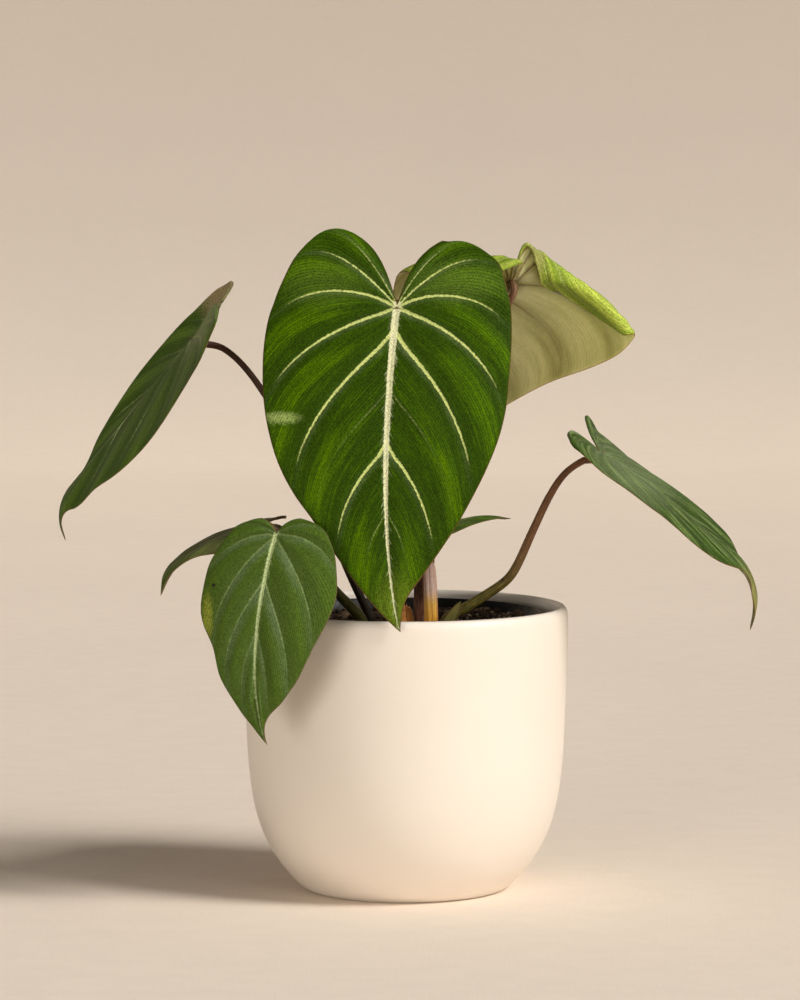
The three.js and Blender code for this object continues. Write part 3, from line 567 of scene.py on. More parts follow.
def tube(points, radius_at, facing):
    """A fluted stalk through points: corners, faces, share along and turn around."""
    steps = len(points) - 1
    ahead = np.gradient(points, axis=0)
    ahead /= norm(ahead, axis=1)[:, None]
    ahead[-1] = facing
    across = np.array([1.0, 0, 0])
    corners, shares, turns = [], [], []
    angle = np.arange(STALK_SIDES) * 2 * np.pi / STALK_SIDES
    for i, centre in enumerate(points):
        across = across - across @ ahead[i] * ahead[i]
        across /= norm(across)
        beside = np.cross(ahead[i], across)
        radius = radius_at(i / steps) * (1 + FLUTE_DEPTH * np.cos(STALK_FLUTES * angle))
        ring = centre + radius[:, None] * (
            np.cos(angle)[:, None] * across + np.sin(angle)[:, None] * beside)
        corners.append(ring)
        shares.append(np.full(STALK_SIDES, i / steps))
        turns.append(angle)
    number = np.arange((steps + 1) * STALK_SIDES).reshape(steps + 1, STALK_SIDES)
    a, b = number[:-1], np.roll(number, -1, axis=1)[:-1]
    c, d = np.roll(number, -1, axis=1)[1:], number[1:]
    faces = [tuple(f) for f in np.stack([a, b, c, d], -1).reshape(-1, 4).tolist()]
    faces.append(tuple(number[0, ::-1].tolist()))
    faces.append(tuple(number[-1].tolist()))
    return np.vstack(corners), faces, np.concatenate(shares), np.concatenate(turns)


def petiole_piece(name, leaf, stalk, material):
    foot = np.asarray(stalk.path[0], float)
    direction = np.asarray(stalk.path[1], float) - foot
    direction = direction / norm(direction) + np.array([0, 0, UPRIGHT])
    direction /= norm(direction)
    _, _, up = leaf_axes(leaf)
    attach = np.asarray(leaf.attach, float)
    whole = np.vstack([foot - direction * STALK_DEPTH, stalk.path, attach - 5 * up, attach - 0.2 * up])
    length = norm(np.diff(whole, axis=0), axis=1).sum()
    steps = int(length / STALK_STEP)
    run = smooth_run(whole)

    def radius_at(share):
        base = stalk.foot_radius + (stalk.top_radius - stalk.foot_radius) * min(share * 1.15, 1)
        return base * (1 + KNEE_SWELL * np.exp(-(((1 - share) * length - 7) / 5) ** 2))

    points = run(np.linspace(0, 1, steps + 1))
    corners, faces, shares, turns = tube(points, radius_at, up)
    made = mesh_object(
        "stalk_" + name, corners, faces, [material], None,
        {"share": shares, "turn": np.sin(turns), "turn_across": np.cos(turns),
         "run": shares * length},
    )
    return piece(made, "petiole_" + name)


def sheath_piece(name, sheath, material, torn):
    """A narrow cupped papery strip with a torn top."""
    rows, columns = 60, 26
    foot, top = np.asarray(sheath.foot, float), np.asarray(sheath.top, float)
    up = (top - foot) / norm(top - foot)
    across = np.cross([0, 1, 0], up)
    across /= norm(across)
    front = np.cross(up, across)
    foot = foot - up * SHEATH_DEPTH
    share, side = np.meshgrid(
        np.linspace(0, 1, rows + 1), np.linspace(-1, 1, columns + 1), indexing="ij")
    rng = np.random.default_rng(SEED + len(name))
    wide = sheath.width / 2 * (1 - (1 - sheath.taper) * share**3)
    notch = sheath.notch * share**4 * (1 - np.abs(side))
    ragged = np.interp(side, np.linspace(-1, 1, 14), rng.random(14)) * torn * share**10
    drop = 2.2 * share**6 * side**2 + notch + ragged
    wrinkle = 0.12 * np.sin(side * 9 + share * 4) + 0.08 * np.sin(side * 21 - share * 3)
    middle = (
        foot + share[..., None] * (top - foot) - up * drop[..., None]
        + across * (wide * side)[..., None]
        + front * (wrinkle - sheath.cup * side**2)[..., None]
    )
    number = np.arange(share.size).reshape(share.shape)
    faces = grid_faces(number)
    flat = middle.reshape(-1, 3)
    normals = sheet_normals(flat, faces)
    edge_soft = 1 - 0.6 * np.clip(np.maximum(np.abs(side), share) - 0.6, 0, 0.4).ravel() / 0.4
    thick = (SHEATH_THICKNESS / 2 * edge_soft)[:, None]
    made = mesh_object(
        "strip_" + name, np.vstack([flat + normals * thick, flat - normals * thick]),
        plate_faces(faces, number), [material], None,
        {"share": np.tile(share.ravel(), 2), "side": np.tile(side.ravel(), 2)},
    )
    return piece(made, name)


def turned_piece(name, node, profile, sides, material, shape=None):
    """A body turned about the vertical axis from a closed half profile."""
    profile = np.asarray(profile, float)
    angle = np.arange(sides) * 2 * np.pi / sides
    rings = profile[1:-1]
    points = np.stack([
        rings[:, :1] * np.cos(angle), rings[:, :1] * np.sin(angle),
        rings[:, 1:] + 0 * angle], -1).reshape(-1, 3)
    if shape:
        points = shape(points)
    number = np.arange(len(rings) * sides).reshape(len(rings), sides)
    closed = np.hstack([number, number[:, :1]])
    faces = [tuple(face[::-1]) for face in grid_faces(closed)]
    low, high = len(points), len(points) + 1
    points = np.vstack([points, [[0, 0, profile[0, 1]], [0, 0, profile[-1, 1]]]])
    for k in range(sides):
        after = (k + 1) % sides
        faces.append((low, number[0, after], number[0, k]))
        faces.append((high, number[-1, k], number[-1, after]))
    made = mesh_object(name, points, faces, [material])
    return piece(made, node)

# ---- Materials.

def linear(colour):
    """A colour as seen on screen, 0 to 255, as the linear value shaders take."""
    if not isinstance(colour, tuple):
        return colour
    value = np.array(colour) / 255
    value = np.where(value <= 0.04045, value / 12.92, ((value + 0.055) / 1.055) ** 2.4)
    return (*value.tolist(), 1)


class Shader:
    """Short names for the nodes of one Principled material."""

    def __init__(self, name, roughness=0.5, sheen=0.0, specular=0.5, glow=0.0):
        self.material = bpy.data.materials.new(name)
        self.material.use_nodes = True
        self.tree = self.material.node_tree
        self.surface = self.tree.nodes["Principled BSDF"]
        for key, value in (("Roughness", roughness), ("Sheen Weight", sheen),
                           ("Specular IOR Level", specular), ("Subsurface Weight", glow),
                           ("Subsurface Scale", 0.003), ("Subsurface Radius", (1.0, 1.0, 0.6))):
            self.surface.inputs[key].default_value = value
        self.place = self.node("TexCoord")["Object"]

    def put(self, value, socket):
        if isinstance(value, bpy.types.NodeSocket):
            self.tree.links.new(value, socket)
        else:
            socket.default_value = value

    def node(self, kind, inputs=(), **settings):
        """The outputs of a new node, with its inputs set or linked by number or name."""
        made = self.tree.nodes.new("ShaderNode" + kind)
        for key, value in settings.items():
            setattr(made, key, value)
        for key, value in dict(inputs).items():
            self.put(value, made.inputs[key])
        return made.outputs

    def math(self, operation, a, b=0.0, clamp=False):
        return self.node("Math", {0: a, 1: b}, operation=operation, use_clamp=clamp)[0]

    def times(self, *values):
        return reduce(lambda a, b: self.math("MULTIPLY", a, b), values)

    def plus(self, a, b, clamp=False):
        return self.math("ADD", a, b, clamp)

    def minus(self, a, b):
        return self.math("SUBTRACT", a, b)

    def swing(self, noise, amount, middle=0.5):
        return self.times(self.minus(noise, middle), amount)

    def step(self, value, low, high, start=0.0, end=1.0):
        return self.node("MapRange", {
            "Value": value, "From Min": low, "From Max": high, "To Min": start, "To Max": end,
        }, interpolation_type="SMOOTHSTEP")["Result"]

    def vary(self, noise, low, high):
        """A noise as a value between low and high."""
        return self.step(noise, 0.3, 0.7, low, high)

    def mix(self, share, a, b, kind="MIX"):
        inputs = {0: share, 6: linear(a), 7: linear(b)}
        return self.node("Mix", inputs, data_type="RGBA", blend_type=kind)[2]

    def shaded(self, colour, shade):
        return self.mix(1.0, colour, self.vector(shade, shade, shade), "MULTIPLY")

    def attributes(self, names):
        return [self.node("Attribute", attribute_name=name)["Fac"] for name in names.split()]

    def vector(self, x, y, z=0.0):
        return self.node("CombineXYZ", {0: x, 1: y, 2: z})[0]

    def noise(self, scale, detail=2.0, rough=0.5, vector=None):
        return self.node("TexNoise", {
            "Vector": self.place if vector is None else vector,
            "Scale": scale, "Detail": detail, "Roughness": rough,
        })["Fac"]

    def fibres(self, detail, rough, x, y, z):
        """Noise of the room, with a scale for each axis."""
        place = self.node("VectorMath", {0: self.place, 1: (x, y, z)}, operation="MULTIPLY")[0]
        return self.noise(1.0, detail, rough, place)

    def drawn_out(self, detail, rough, across, along, shift=0.0):
        """Noise drawn out in a direction; across and along are values with their scales."""
        place = self.vector(self.times(*across), self.times(*along), shift)
        return self.noise(1.0, detail, rough, place)

    def ramp(self, value, stops):
        node = self.tree.nodes.new("ShaderNodeValToRGB")
        self.put(value, node.inputs[0])
        band = node.color_ramp.elements
        while len(band) < len(stops):
            band.new(0.5)
        for element, (at, colour) in zip(band, stops):
            element.position = at
            element.color = linear(colour)
        return node.outputs["Color"]

    def near(self, centre, size, soft):
        """Mask of an ellipsoid in the room, centre and half sizes in millimetres."""
        away = [value * MM for value in centre]
        reach = [value * MM for value in size]
        away = self.node("VectorMath", {0: self.place, 1: away}, operation="SUBTRACT")[0]
        away = self.node("VectorMath", {0: away, 1: reach}, operation="DIVIDE")[0]
        away = self.node("VectorMath", {0: away}, operation="LENGTH")["Value"]
        ragged = self.plus(away, self.swing(self.noise(700), 0.9))
        return self.step(ragged, 1 - soft, 1 + soft, 1.0, 0.0)

    def patched(self, colour, patches, soft=0.6):
        for tint, spot, size, strength in patches:
            colour = self.mix(self.times(self.near(spot, size, soft), strength), colour, tint)
        return colour

    def finish(self, colour, height=None, distance=0.0002, strength=1.0, roughness=None):
        self.put(colour, self.surface.inputs["Base Color"])
        if roughness is not None:
            self.put(roughness, self.surface.inputs["Roughness"])
        if height is not None:
            bump = {"Strength": strength, "Distance": distance, "Height": height}
            self.put(self.node("Bump", bump)[0], self.surface.inputs["Normal"])
        return self.material


# Colours of one leaf's upper face, from beside the veins to midway between them.
Look = namedtuple(
    "Look", "halo dark mid bright vein midrib edge stripe speckle band streaks inner haze haze_width"
    " vein_soft vein_strength rib_strength lit_share gloss")


def leaf_upper(name, look, patches=(), lit=()):
    s = Shader(name, roughness=0.6, specular=look.gloss)
    lane, reach, centre, out, vein, rib, rim, side, mist, fade = s.attributes(
        "lane reach centre out vein rib rim tipward mist fade")
    streak = s.drawn_out(1, 0.5, (lane,), (reach, 0.045))
    swath = s.drawn_out(1, 0.5, (lane, 0.3), (reach, 0.03), 9.0)
    cloud = s.noise(55, 2, 0.5)
    # Broad bands: dark beside the veins, bright midway, brighter towards the margin.
    skew = s.plus(centre, s.times(side, 0.22))
    glow = s.times(s.step(skew, 0.2, 1.25), s.step(out, 0.08, 0.75, look.inner, 1.0),
                   s.step(rim, 0.0, 5.0, 0.6, 1.0), look.band)
    # Streaky noise mottles the colour; where streaks is large, as on the right leaf, it paints pale
    # sheen streaks where light glances off the velvet.
    for noise, amount in ((streak, 1.5), (swath, 0.9), (cloud, 0.5)):
        glow = s.plus(glow, s.swing(noise, amount * look.streaks), clamp=True)
    colour = s.ramp(glow, [(0.0, look.dark), (0.4, look.mid), (0.95, look.bright)])
    # Grey-green haze on the tipward side of each vein.
    haze = s.times(s.step(mist, 0.2, look.haze_width, 1.0, 0.0), s.step(side, -0.25, 0.35, 0.15, 1.0),
                   s.step(s.noise(90, 2), 0.35, 0.6, 0.4, 1.0),
                   s.step(out, 0.03, 0.9, look.haze, look.haze * 0.45))
    colour = s.patched(s.mix(haze, colour, look.halo), patches)
    # Fine dark stripes along the laterals, broken into dots.
    wave = s.math("COSINE", s.times(lane, TURN))
    gaps = s.drawn_out(3, 0.6, (lane, 0.6), (reach, 0.55))
    stripe = s.times(s.step(wave, -0.1, 1.0), s.step(gaps, 0.3, 0.58))
    bead = s.math("COSINE", s.plus(s.times(reach, 5.4), s.times(gaps, 9.0)))
    bead = s.step(bead, -0.5, 0.8, 0.25, 1.0)
    shade = s.minus(1.0, s.times(stripe, bead, look.stripe))
    grain = s.noise(1250, 1, 0.5)
    shade = s.times(shade, s.step(grain, 0.25, 0.75, 1 - look.speckle, 1 + look.speckle))
    colour = s.shaded(colour, shade)
    # Veins with feathered sides and hair-thin spurs.
    soft = look.vein_soft
    feather = s.swing(s.noise(800, 3, 0.8), soft * 4.6)
    spurs = s.drawn_out(1, 0.5, (lane, 3.1), (reach, 0.12), 5.0)
    lateral, middle = (s.step(s.plus(line, feather), -soft * 0.6, soft * 0.7, 1.0, 0.0)
                       for line in (vein, rib))
    lateral = s.times(lateral, fade, look.vein_strength)
    whisker = s.step(s.minus(rib, s.times(s.step(spurs, 0.56, 0.74), 1.8)), -0.25, 0.35, 0.42, 0.0)
    middle = s.times(s.math("MAXIMUM", middle, whisker), look.rib_strength)
    # Painted highlight on the veins: they show in full only on the lit spots, where light catches
    # them, and elsewhere only as much as lit_share; the grain breaks them up.
    shown = look.lit_share
    for place, size in lit:
        shown = s.math("MAXIMUM", shown, s.near(place, size, 0.5))
    grain_and_lit = s.times(s.step(grain, 0.3, 0.6, 0.62, 1.0), shown)
    colour = s.mix(s.times(lateral, grain_and_lit), colour, look.vein)
    colour = s.mix(s.times(middle, grain_and_lit), colour, look.midrib)
    colour = s.mix(s.step(rim, 0.35, 1.0, 0.85, 0.0), colour, look.edge)
    height = s.plus(s.times(stripe, -0.5), s.times(grain, 0.7))
    return s.finish(colour, height, 0.00016, 0.8, s.vary(cloud, 0.46, 0.58))


def leaf_under(name, base, fold_shade, rib_colour, edge, stripe=0.12, patches=(), glow=0.3,
               vein_reach=(10, 60)):
    s = Shader(name, roughness=0.6, sheen=0.05, specular=0.15, glow=glow)
    lane, reach, centre, vein, rim, rib, fade = s.attributes("lane reach centre vein rim rib fade")
    # Painted shade of the underside's folds: the darker colour beside the veins and along streaks, the
    # base colour on the swells between them.
    streak = s.drawn_out(2, 0.5, (lane, 0.35), (reach, 0.03), 3.0)
    fold_light = s.plus(s.times(s.step(centre, 0.0, 0.8), 0.6), s.swing(streak, 1.2, 0.35), clamp=True)
    colour = s.mix(fold_light, fold_shade, base)
    wave = s.math("COSINE", s.times(lane, TURN))
    gaps = s.drawn_out(2, 0.5, (lane, 0.5), (reach, 0.3))
    fine = s.times(s.step(wave, 0.0, 1.0), s.step(gaps, 0.35, 0.6))
    grain = s.noise(1500, 3, 0.6)
    colour = s.shaded(colour, s.minus(s.vary(grain, 0.94, 1.06), s.times(fine, stripe)))
    lateral = s.times(s.step(vein, -0.35, 0.45, 1.0, 0.0), fade, s.step(reach, *vein_reach, 1.0, 0.12))
    mask = s.math("MAXIMUM", lateral, s.step(rib, -0.5, 0.4, 1.0, 0.0))
    colour = s.patched(s.mix(s.times(mask, 0.85), colour, rib_colour), patches)
    colour = s.mix(s.step(rim, 0.45, 1.15, 0.9, 0.0), colour, edge)
    return s.finish(colour, s.plus(s.times(fine, 0.6), s.times(grain, 0.4)), 0.00015, 0.7)


def stalk_material(name, stops, blotch=0.5, marks=()):
    """A petiole: colour stops from foot to blade, with lengthwise streaks and small flecks."""
    s = Shader(name, roughness=0.45, specular=0.25)
    share, turn, turn_across, run = s.attributes("share turn turn_across run")
    streak = s.noise(5.0, 3, 0.65, s.vector(turn, turn_across, s.times(run, 0.035)))
    fleck = s.noise(1300, 2, 0.6)
    shade = s.times(s.vary(streak, 1 - blotch, 1 + blotch),
                    s.vary(fleck, 0.86, 1.14))
    colour = s.patched(s.shaded(s.ramp(share, stops), shade), marks, 0.5)
    return s.finish(colour, s.plus(streak, s.times(fleck, 0.3)), 0.0003, 0.6)


def sheath_material(name, stops, edge):
    s = Shader(name, roughness=0.6, specular=0.2, glow=0.25)
    share, side = s.attributes("share side")
    fibre = s.drawn_out(3, 0.6, (side, 9.0), (share, 2.2))
    fleck = s.noise(900, 3, 0.6)
    colour = s.ramp(s.plus(share, s.swing(fibre, 0.35)), stops)
    shade = s.times(s.vary(fibre, 0.82, 1.12), s.vary(fleck, 0.92, 1.08))
    border = s.step(s.math("ABSOLUTE", side), 0.84, 1.0)
    return s.finish(s.mix(border, s.shaded(colour, shade), edge), fibre, 0.0003, 0.6)


def glaze_material():
    s = Shader("cream_glaze", roughness=0.42, specular=0.4)
    cloud, speck = s.noise(14, 3, 0.5), s.noise(1500, 2, 0.6)
    rings = s.fibres(2, 0.5, 18, 18, 420)
    colour = s.mix(cloud, (231, 218, 203), (236, 225, 211))
    colour = s.mix(s.step(speck, 0.72, 0.8, 0.0, 0.25), colour, (214, 196, 165))
    height = s.plus(s.times(rings, 0.5), s.times(s.noise(600, 2), 0.5))
    return s.finish(colour, height, 0.00012, 0.5, s.vary(cloud, 0.38, 0.48))


def plastic_material():
    s = Shader("nursery_plastic", roughness=0.6, specular=0.2)
    dust = s.noise(220, 4, 0.6)
    colour = s.mix(s.step(dust, 0.5, 0.8), (18, 17, 15), (46, 40, 33))
    return s.finish(colour, s.noise(900, 2), 0.0001, 0.4, s.vary(dust, 0.4, 0.65))


def soil_material():
    s = Shader("bark_soil", roughness=0.95, specular=0.15)
    clump, crumb = s.noise(140, 4, 0.65), s.noise(900, 4, 0.7)
    colour = s.ramp(clump, [(0.3, (56, 44, 33)), (0.55, (94, 74, 56)), (0.75, (132, 106, 82))])
    colour = s.mix(s.step(crumb, 0.62, 0.75, 0.0, 0.5), colour, (110, 88, 66))
    return s.finish(colour, s.plus(clump, s.times(crumb, 0.5)), 0.002, 0.9)


def chip_material(name, low, high):
    s = Shader(name, roughness=0.85, specular=0.2)
    grain = s.fibres(4, 0.65, 300, 900, 500)
    colour = s.mix(s.step(s.noise(90, 2, 0.5), 0.35, 0.65), low, high)
    colour = s.shaded(colour, s.vary(grain, 0.7, 1.2))
    return s.finish(colour, grain, 0.0006, 0.8)


# Backdrop colour by height in metres: darker up the curve, so that it looks even in the light.
SWEEP_SHADES = [
    (0.0, (239, 224, 207)), (0.0045, (236, 221, 204)), (0.018, (231, 216, 200)),
    (0.05, (223, 209, 193)), (0.1, (215, 202, 186)), (0.2, (206, 193, 178)),
    (0.3, (199, 186, 171)), (0.45, (193, 180, 166)), (0.64, (190, 177, 162)),
]


def backdrop_material():
    s = Shader("backdrop_linen", roughness=1.0, specular=0.0)
    warp = s.fibres(2, 0.6, 1500, 60, 60)
    weft = s.fibres(2, 0.6, 40, 60, 1300)
    height = s.node("SeparateXYZ", {0: s.place})["Z"]
    weave = s.times(s.step(s.plus(warp, weft), 0.8, 1.2, 0.985, 1.015),
                    s.vary(s.noise(2.2, 3, 0.5), 0.985, 1.01))
    return s.finish(s.shaded(s.ramp(height, SWEEP_SHADES), weave))


# ---- The plant.

MAIN_LOOK = Look(
    halo=(82, 97, 56), dark=(44, 66, 4), mid=(60, 88, 3), bright=(84, 116, 0),
    vein=(206, 214, 128), midrib=(222, 219, 174), edge=(96, 72, 36), stripe=0.72,
    speckle=0.3, band=0.64, streaks=0.85, inner=0.15, haze=0.92, haze_width=3.2, vein_soft=0.38,
    vein_strength=0.95, rib_strength=0.97, lit_share=1.0, gloss=0.03)
FAR_LOOK = Look(
    halo=(116, 132, 84), dark=(63, 86, 26), mid=(83, 107, 36), bright=(106, 132, 50),
    vein=(186, 204, 134), midrib=(204, 218, 154), edge=(92, 76, 46), stripe=0.35,
    speckle=0.26, band=0.6, streaks=0.6, inner=0.5, haze=0.4, haze_width=4.0, vein_soft=0.75,
    vein_strength=0.9, rib_strength=1.0, lit_share=0.26, gloss=0.03)
# The right leaf's strong streaks are painted sheen: pale lengthwise bands of glancing light.
RIGHT_LOOK = Look(
    halo=(112, 132, 82), dark=(40, 62, 16), mid=(70, 94, 32), bright=(120, 138, 82),
    vein=(160, 172, 124), midrib=(160, 176, 124), edge=(96, 70, 40), stripe=0.4,
    speckle=0.28, band=0.6, streaks=1.7, inner=0.7, haze=0.5, haze_width=3.0, vein_soft=0.9,
    vein_strength=0.4, rib_strength=0.6, lit_share=0.5, gloss=0.06)
LOW_LOOK = Look(
    halo=(122, 142, 102), dark=(72, 94, 30), mid=(80, 105, 31), bright=(93, 121, 30),
    vein=(172, 192, 128), midrib=(196, 210, 150), edge=(96, 84, 50), stripe=0.6,
    speckle=0.26, band=0.3, streaks=0.6, inner=0.6, haze=0.58, haze_width=5.0, vein_soft=0.45,
    vein_strength=0.42, rib_strength=0.97, lit_share=1.0, gloss=0.06)
YOUNG_LOOK = Look(
    halo=(166, 180, 84), dark=(132, 154, 44), mid=(160, 180, 60), bright=(190, 202, 84),
    vein=(200, 206, 130), midrib=(200, 206, 130), edge=(120, 78, 42), stripe=0.55,
    speckle=0.3, band=1.0, streaks=1.0, inner=0.6, haze=0.3, haze_width=3.0, vein_soft=0.9,
    vein_strength=0.4, rib_strength=0.5, lit_share=1.0, gloss=0.12)

BROWN, BLACK_BROWN = (96, 64, 38), (42, 34, 20)
OLIVE, DARK_OLIVE = (112, 106, 42), (70, 70, 28)
STALK_STOPS = {
    "main": [(0.04, (176, 126, 102)), (0.1, (140, 98, 78)), (0.16, (90, 62, 44)),
             (1.0, (80, 66, 38))],
    "upper_left": [(0.0, BLACK_BROWN), (0.4, (54, 38, 26)), (1.0, (84, 50, 32))],
    "back_right": [(0.0, BROWN), (0.5, (112, 88, 58)), (1.0, (124, 90, 64))],
    "right": [(0.0, OLIVE), (0.34, (110, 96, 40)), (0.52, (120, 82, 46)),
              (1.0, (100, 60, 38))],
    "lower_left": [(0.0, DARK_OLIVE), (0.6, DARK_OLIVE), (0.9, (104, 78, 54)),
                   (1.0, (116, 82, 58))],
    "left_back": [(0.0, DARK_OLIVE), (1.0, BROWN)],
    "hidden": [(0.0, DARK_OLIVE), (1.0, BROWN)],
}
STALK_MARKS = {"right": [((40, 24, 14), (46.2, -11, 151.2), (0.8, 12, 2.4), 0.8)]}
DETAILS = {
    "main": Detail(20, 56, 1, 1, 0.9, 0.25, 0.5),
    "upper_left": Detail(14, 40, 0.9, 1.0, 0.8, 0.25, 0.5),
    "back_right": Detail(14, 76, 0.55, 0.5, 0.7, 0.15, 0.4),
    "right": Detail(14, 40, 0.8, 0.7, 0.8, 0.25, 0.5),
    "lower_left": Detail(18, 44, 0.62, 0.62, 0.8, 0.25, 0.5),
    "left_back": Detail(10, 30, 0.7, 0.6, 0.5, 0.2, 0.4),
    "hidden": Detail(8, 24, 0.7, 0.6, 0.5, 0.2, 0.4),
}

under_dark = leaf_under("leaf_underside", (120, 116, 70), (88, 88, 50), (110, 86, 56),
                        (96, 70, 42))
under_young = leaf_under("young_underside", (196, 193, 146), (148, 145, 98),
                         (112, 86, 56), (130, 92, 60), 0.16, [
                             ((92, 80, 44), (51.3, 15, 289), (6, 12, 5), 1.0)],
                         glow=0.85, vein_reach=(8, 46))
UPPERS = {
    "main": leaf_upper("leaf_main", MAIN_LOOK, [
        ((146, 164, 90), (-57.7, -60, 230), (7.6, 60, 2.4), 0.85),
        ((126, 146, 40), (-4, -50, 144), (10, 60, 14), 0.45),
        ((104, 128, 48), (24, -50, 292), (20, 60, 9), 0.35),
        ((96, 120, 40), (-38, -50, 292), (18, 60, 10), 0.3)]),
    "upper_left": leaf_upper("leaf_far", FAR_LOOK, [
        ((206, 156, 84), (-157, -20, 142), (10, 60, 12), 1.0),
        # Painted highlight: a pale patch on the top of the upper left leaf.
        ((146, 152, 104), (-97, -30, 279), (15, 30, 20), 0.5),
        ((156, 138, 96), (-88, 12, 289), (13, 26, 13), 0.95)], [
            ((-134.8, -20, 226.5), (13, 60, 12)), ((-108.7, -20, 263.5), (9, 60, 5))]),
    "back_right": leaf_upper("leaf_young", YOUNG_LOOK, [
        ((150, 146, 84), (62, 15, 302), (5, 60, 10), 0.85)]),
    "right": leaf_upper("leaf_right", RIGHT_LOOK, [
        ((138, 134, 72), (164, -5, 132), (9, 60, 20), 1.0),
        # Painted highlight: a broad pale patch on the right leaf's body.
        ((160, 170, 128), (112, -5, 202), (30, 60, 16), 0.25)]),
    "lower_left": leaf_upper("leaf_low", LOW_LOOK, [
        ((160, 164, 60), (-91.4, -88, 138.5), (2.3, 60, 9.5), 0.6),
        ((40, 34, 24), (-88.6, -88, 153.6), (0.8, 60, 0.8), 1.0)]),
}
UPPERS["left_back"] = leaf_upper("leaf_left_back", FAR_LOOK, [
    ((110, 98, 66), (-84, -40, 164), (26, 60, 14), 0.5),
    ((122, 94, 66), (-56, -20, 181), (10, 40, 9), 0.9)])
UPPERS["hidden"] = UPPERS["upper_left"]

for leaf_name, leaf in LEAVES.items():
    under = under_young if leaf_name == "back_right" else under_dark
    blade_piece(leaf_name, leaf, DETAILS[leaf_name], UPPERS[leaf_name], under)
    petiole_piece(leaf_name, leaf, PETIOLES[leaf_name], stalk_material(
        "stalk_" + leaf_name, STALK_STOPS[leaf_name], marks=STALK_MARKS.get(leaf_name, ())))

# Material name, colour stops from foot to top, border colour, and how far the top is torn.
SHEATH_LOOKS = {
    "cataphyll": ("cataphyll_pink", [
        (0.2, (255, 176, 60)), (0.45, (255, 192, 96)), (0.6, (255, 214, 194)),
        (0.95, (255, 208, 192))], (232, 140, 104), 2.0),
    "sheath_brown": ("sheath_dry", [
        (0.0, (226, 156, 74)), (1.0, (176, 116, 62))], (102, 68, 42), 3.0),
    "sheath_right": ("sheath_olive", [
        (0.2, (118, 112, 56)), (1.0, (140, 128, 70))], (88, 62, 36), 2.0),
}
for sheath_name, (finish, stops, border, torn) in SHEATH_LOOKS.items():
    sheath_piece(sheath_name, SHEATHS[sheath_name], sheath_material(finish, stops, border), torn)

# ---- Pots and soil.

outer = smooth_run([*POT_OUTSIDE, *POT_INSIDE])(np.linspace(0, 1, 220))
turned_piece("cachepot", "pot", [(0, 0), *outer.tolist(), (0, POT_FLOOR)], 192,
             glaze_material())


def nursery_slope(height):
    share = (height - NURSERY_BASE) / (NURSERY_TOP - NURSERY_BASE)
    return NURSERY_BASE_RADIUS + (NURSERY_RIM_RADIUS - 2 - NURSERY_BASE_RADIUS) * share


lip_foot = NURSERY_TOP - NURSERY_LIP
# The nursery pot's lip, as insets from its widest radius and heights.
lip = [(0.3, lip_foot - 0.2), (0, lip_foot + 0.2), (0, NURSERY_TOP - 0.7), (0.3, NURSERY_TOP - 0.2),
       (0.8, NURSERY_TOP), (1.4, NURSERY_TOP - 0.1), (1.8, NURSERY_TOP - 0.6)]
turned_piece("grow_pot", "nursery_pot", [
    (0, NURSERY_BASE), (NURSERY_BASE_RADIUS - 1, NURSERY_BASE),
    (NURSERY_BASE_RADIUS, NURSERY_BASE + 1), (nursery_slope(lip_foot - 1), lip_foot - 1),
    *((NURSERY_RIM_RADIUS - inset, height) for inset, height in lip),
    (nursery_slope(lip_foot) - NURSERY_WALL, lip_foot - 2),
    (NURSERY_BASE_RADIUS - NURSERY_WALL, NURSERY_BASE + NURSERY_WALL),
    (0, NURSERY_BASE + NURSERY_WALL),
], 160, plastic_material())


def soil_height(x, y):
    waves = np.sin(x * 0.31 + y * 0.12) + np.sin(y * 0.27 - x * 0.09 + 1)
    away = (x - SOIL_HEAP_AT[0]) ** 2 + (y - SOIL_HEAP_AT[1]) ** 2
    return SOIL_TOP + SOIL_BUMP * waves + SOIL_HEAP * np.exp(-away / 700)


soil_edge = nursery_slope(SOIL_TOP) - NURSERY_WALL - 0.3
rng = np.random.default_rng(SEED)
crumbs = rng.uniform(-1, 1, (CRUMBS, 2)) * soil_edge
crumb_size = rng.uniform(1.2, 3.4, CRUMBS)
crumb_rise = rng.uniform(0.3, 1.9, CRUMBS)


def crumbly(points):
    top = points[:, 2] > SOIL_TOP - 0.5
    inner = np.hypot(points[:, 0], points[:, 1]) < soil_edge - 0.4
    x, y = points[:, 0], points[:, 1]
    away = (x[:, None] - crumbs[:, 0]) ** 2 + (y[:, None] - crumbs[:, 1]) ** 2
    lift = (crumb_rise * np.exp(-away / crumb_size**2 * 2)).max(1)
    raised = soil_height(x, y) + lift - 0.8
    made = points.copy()
    made[:, 2] = np.where(top & inner, raised, made[:, 2])
    return made


soil_base = NURSERY_BASE + NURSERY_WALL + 0.3
soil_rings = [(radius, SOIL_TOP) for radius in np.linspace(soil_edge - 0.5, 0.6, 70)]
turned_piece("potting_mix", "soil", [
    (0, soil_base), (NURSERY_BASE_RADIUS - NURSERY_WALL - 0.5, soil_base), (soil_edge, SOIL_TOP - 1),
    *soil_rings, (0, SOIL_TOP)], 240, soil_material(), crumbly)


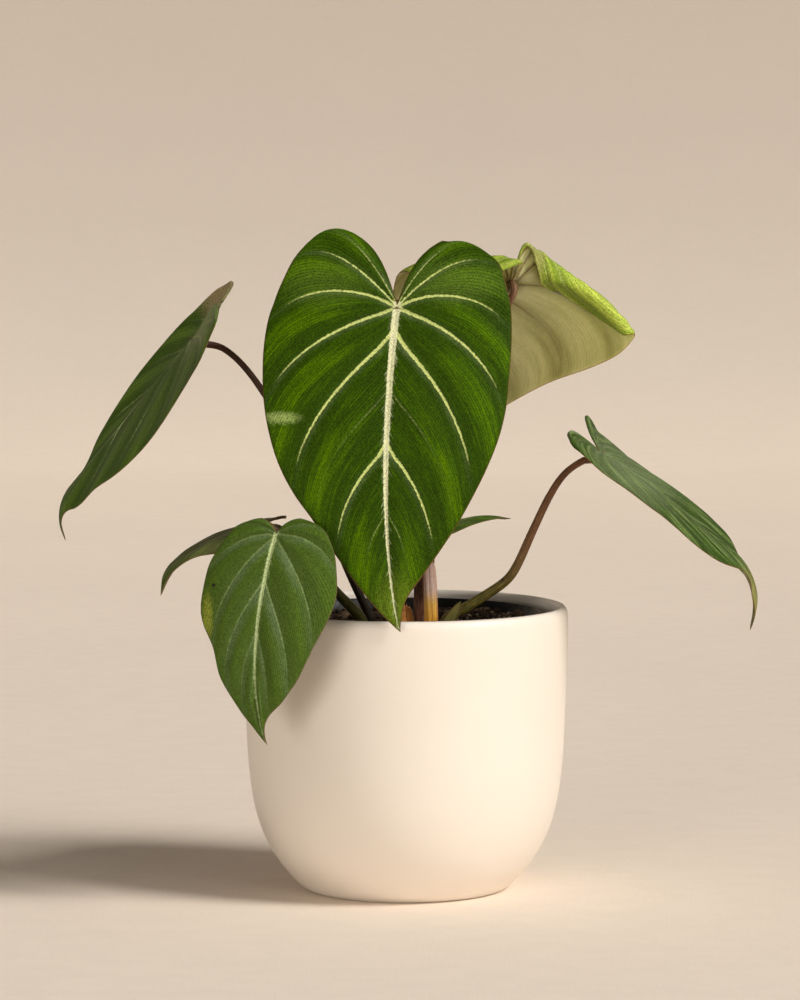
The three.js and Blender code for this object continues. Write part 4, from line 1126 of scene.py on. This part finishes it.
def chips(name, count, low, high, flat, material, middle=None, spread=0):
    """Small broken bits lying on the soil, joined in one piece."""
    form = bmesh.new()
    for _ in range(count):
        radius, angle = soil_edge * 0.95 * np.sqrt(rng.random()), rng.random() * 2 * np.pi
        x, y = radius * np.cos(angle), radius * np.sin(angle)
        if middle:
            x, y = rng.normal(middle, spread)
            if np.hypot(x, y) > soil_edge * 0.95:
                continue
        size = rng.uniform(low, high)
        shape = rng.normal(size=(14, 3))
        shape /= norm(shape, axis=1)[:, None]
        shape *= rng.uniform(0.75, 1.15, (14, 1)) * size * np.array([1, rng.uniform(0.45, 0.8), flat])
        turn = rng.random() * 2 * np.pi
        lean = rng.uniform(-0.5, 0.5)
        c, s = np.cos(turn), np.sin(turn)
        spin = np.array([[c, -s, 0], [s, c, 0], [0, 0, 1]])
        tip = np.array([[np.cos(lean), 0, np.sin(lean)], [0, 1, 0], [-np.sin(lean), 0, np.cos(lean)]])
        bit = shape @ (spin @ tip).T + np.array([x, y, soil_height(x, y) + size * flat * 0.35])
        corners = [form.verts.new(Vector(point) * MM) for point in bit.tolist()]
        bmesh.ops.convex_hull(form, input=corners)
    mesh = bpy.data.meshes.new(name)
    without_loose(form, mesh)
    mesh.materials.append(material)
    return piece(placed(name, mesh), "soil")


chips("bark_chips", 900, 0.7, 2.6, 0.5, chip_material("bark", (40, 30, 23), (80, 62, 47)))
chips("pale_chips", 130, 0.6, 1.9, 0.6,
      chip_material("pale_bits", (120, 98, 76), (206, 188, 164)), (42, 6), 15)

# ---- Stage, light and camera.

FLOOR_REACH = 14
CURVE_START = 2.9
CURVE_RADIUS = 1.2
WALL_TOP = 3.0
CAMERA_PLACE = (-0.00264, -1.85, 0.328)
CAMERA_TILT = 85.64
LENS = 139.15


def stage_sweep():
    turn = np.linspace(0, np.pi / 2, 40)
    profile = [(-FLOOR_REACH, 0), (CURVE_START, 0)]
    profile += [(CURVE_START + CURVE_RADIUS * np.sin(a), CURVE_RADIUS * (1 - np.cos(a)))
                for a in turn[1:]]
    profile += [(CURVE_START + CURVE_RADIUS, WALL_TOP)]
    points = [(x, y, z) for x in (-FLOOR_REACH, FLOOR_REACH) for y, z in profile]
    wide = len(profile)
    faces = [(k, k + wide, k + wide + 1, k + 1) for k in range(wide - 1)]
    made = mesh_object("backdrop", np.array(points) / MM, faces, [backdrop_material()])


def light(name, kind, place, aim, energy, colour, **settings):
    data = bpy.data.lights.new(name, kind)
    data.energy, data.color = energy, colour
    for key, value in settings.items():
        setattr(data, key, value)
    lamp = placed(name, data)
    lamp.location = place
    lamp.rotation_euler = (Vector(aim) - Vector(place)).to_track_quat("-Z", "Y").to_euler()


stage_sweep()
light("key", "SUN", (1.4, -0.66, 1.28), (0, 0, 0), 2.85, (1.0, 0.985, 0.955), angle=np.radians(20))
light("front_low", "SUN", (-0.9, -1.85, 0.05), (0, 0, 0), 1.72, (1.0, 0.97, 0.93),
      angle=np.radians(26))
light("low_side", "AREA", (1.1, -1.25, 0.42), (0, 0, 0.15), 5.0, (1.0, 0.985, 0.96),
      shape="RECTANGLE", size=0.6, size_y=0.4)

world = bpy.data.worlds.new("studio")
world.use_nodes = True
sky = world.node_tree.nodes["Background"].inputs
sky["Color"].default_value = (1.0, 0.97, 0.94, 1)
sky["Strength"].default_value = 0.12
scene.world = world
scene.view_settings.view_transform = "Standard"

camera_data = bpy.data.cameras.new("camera")
camera_data.sensor_width = 36
camera_data.lens = LENS
camera = placed("camera", camera_data)
camera.location = CAMERA_PLACE
camera.rotation_euler = (np.radians(CAMERA_TILT), 0, 0)
scene.camera = camera
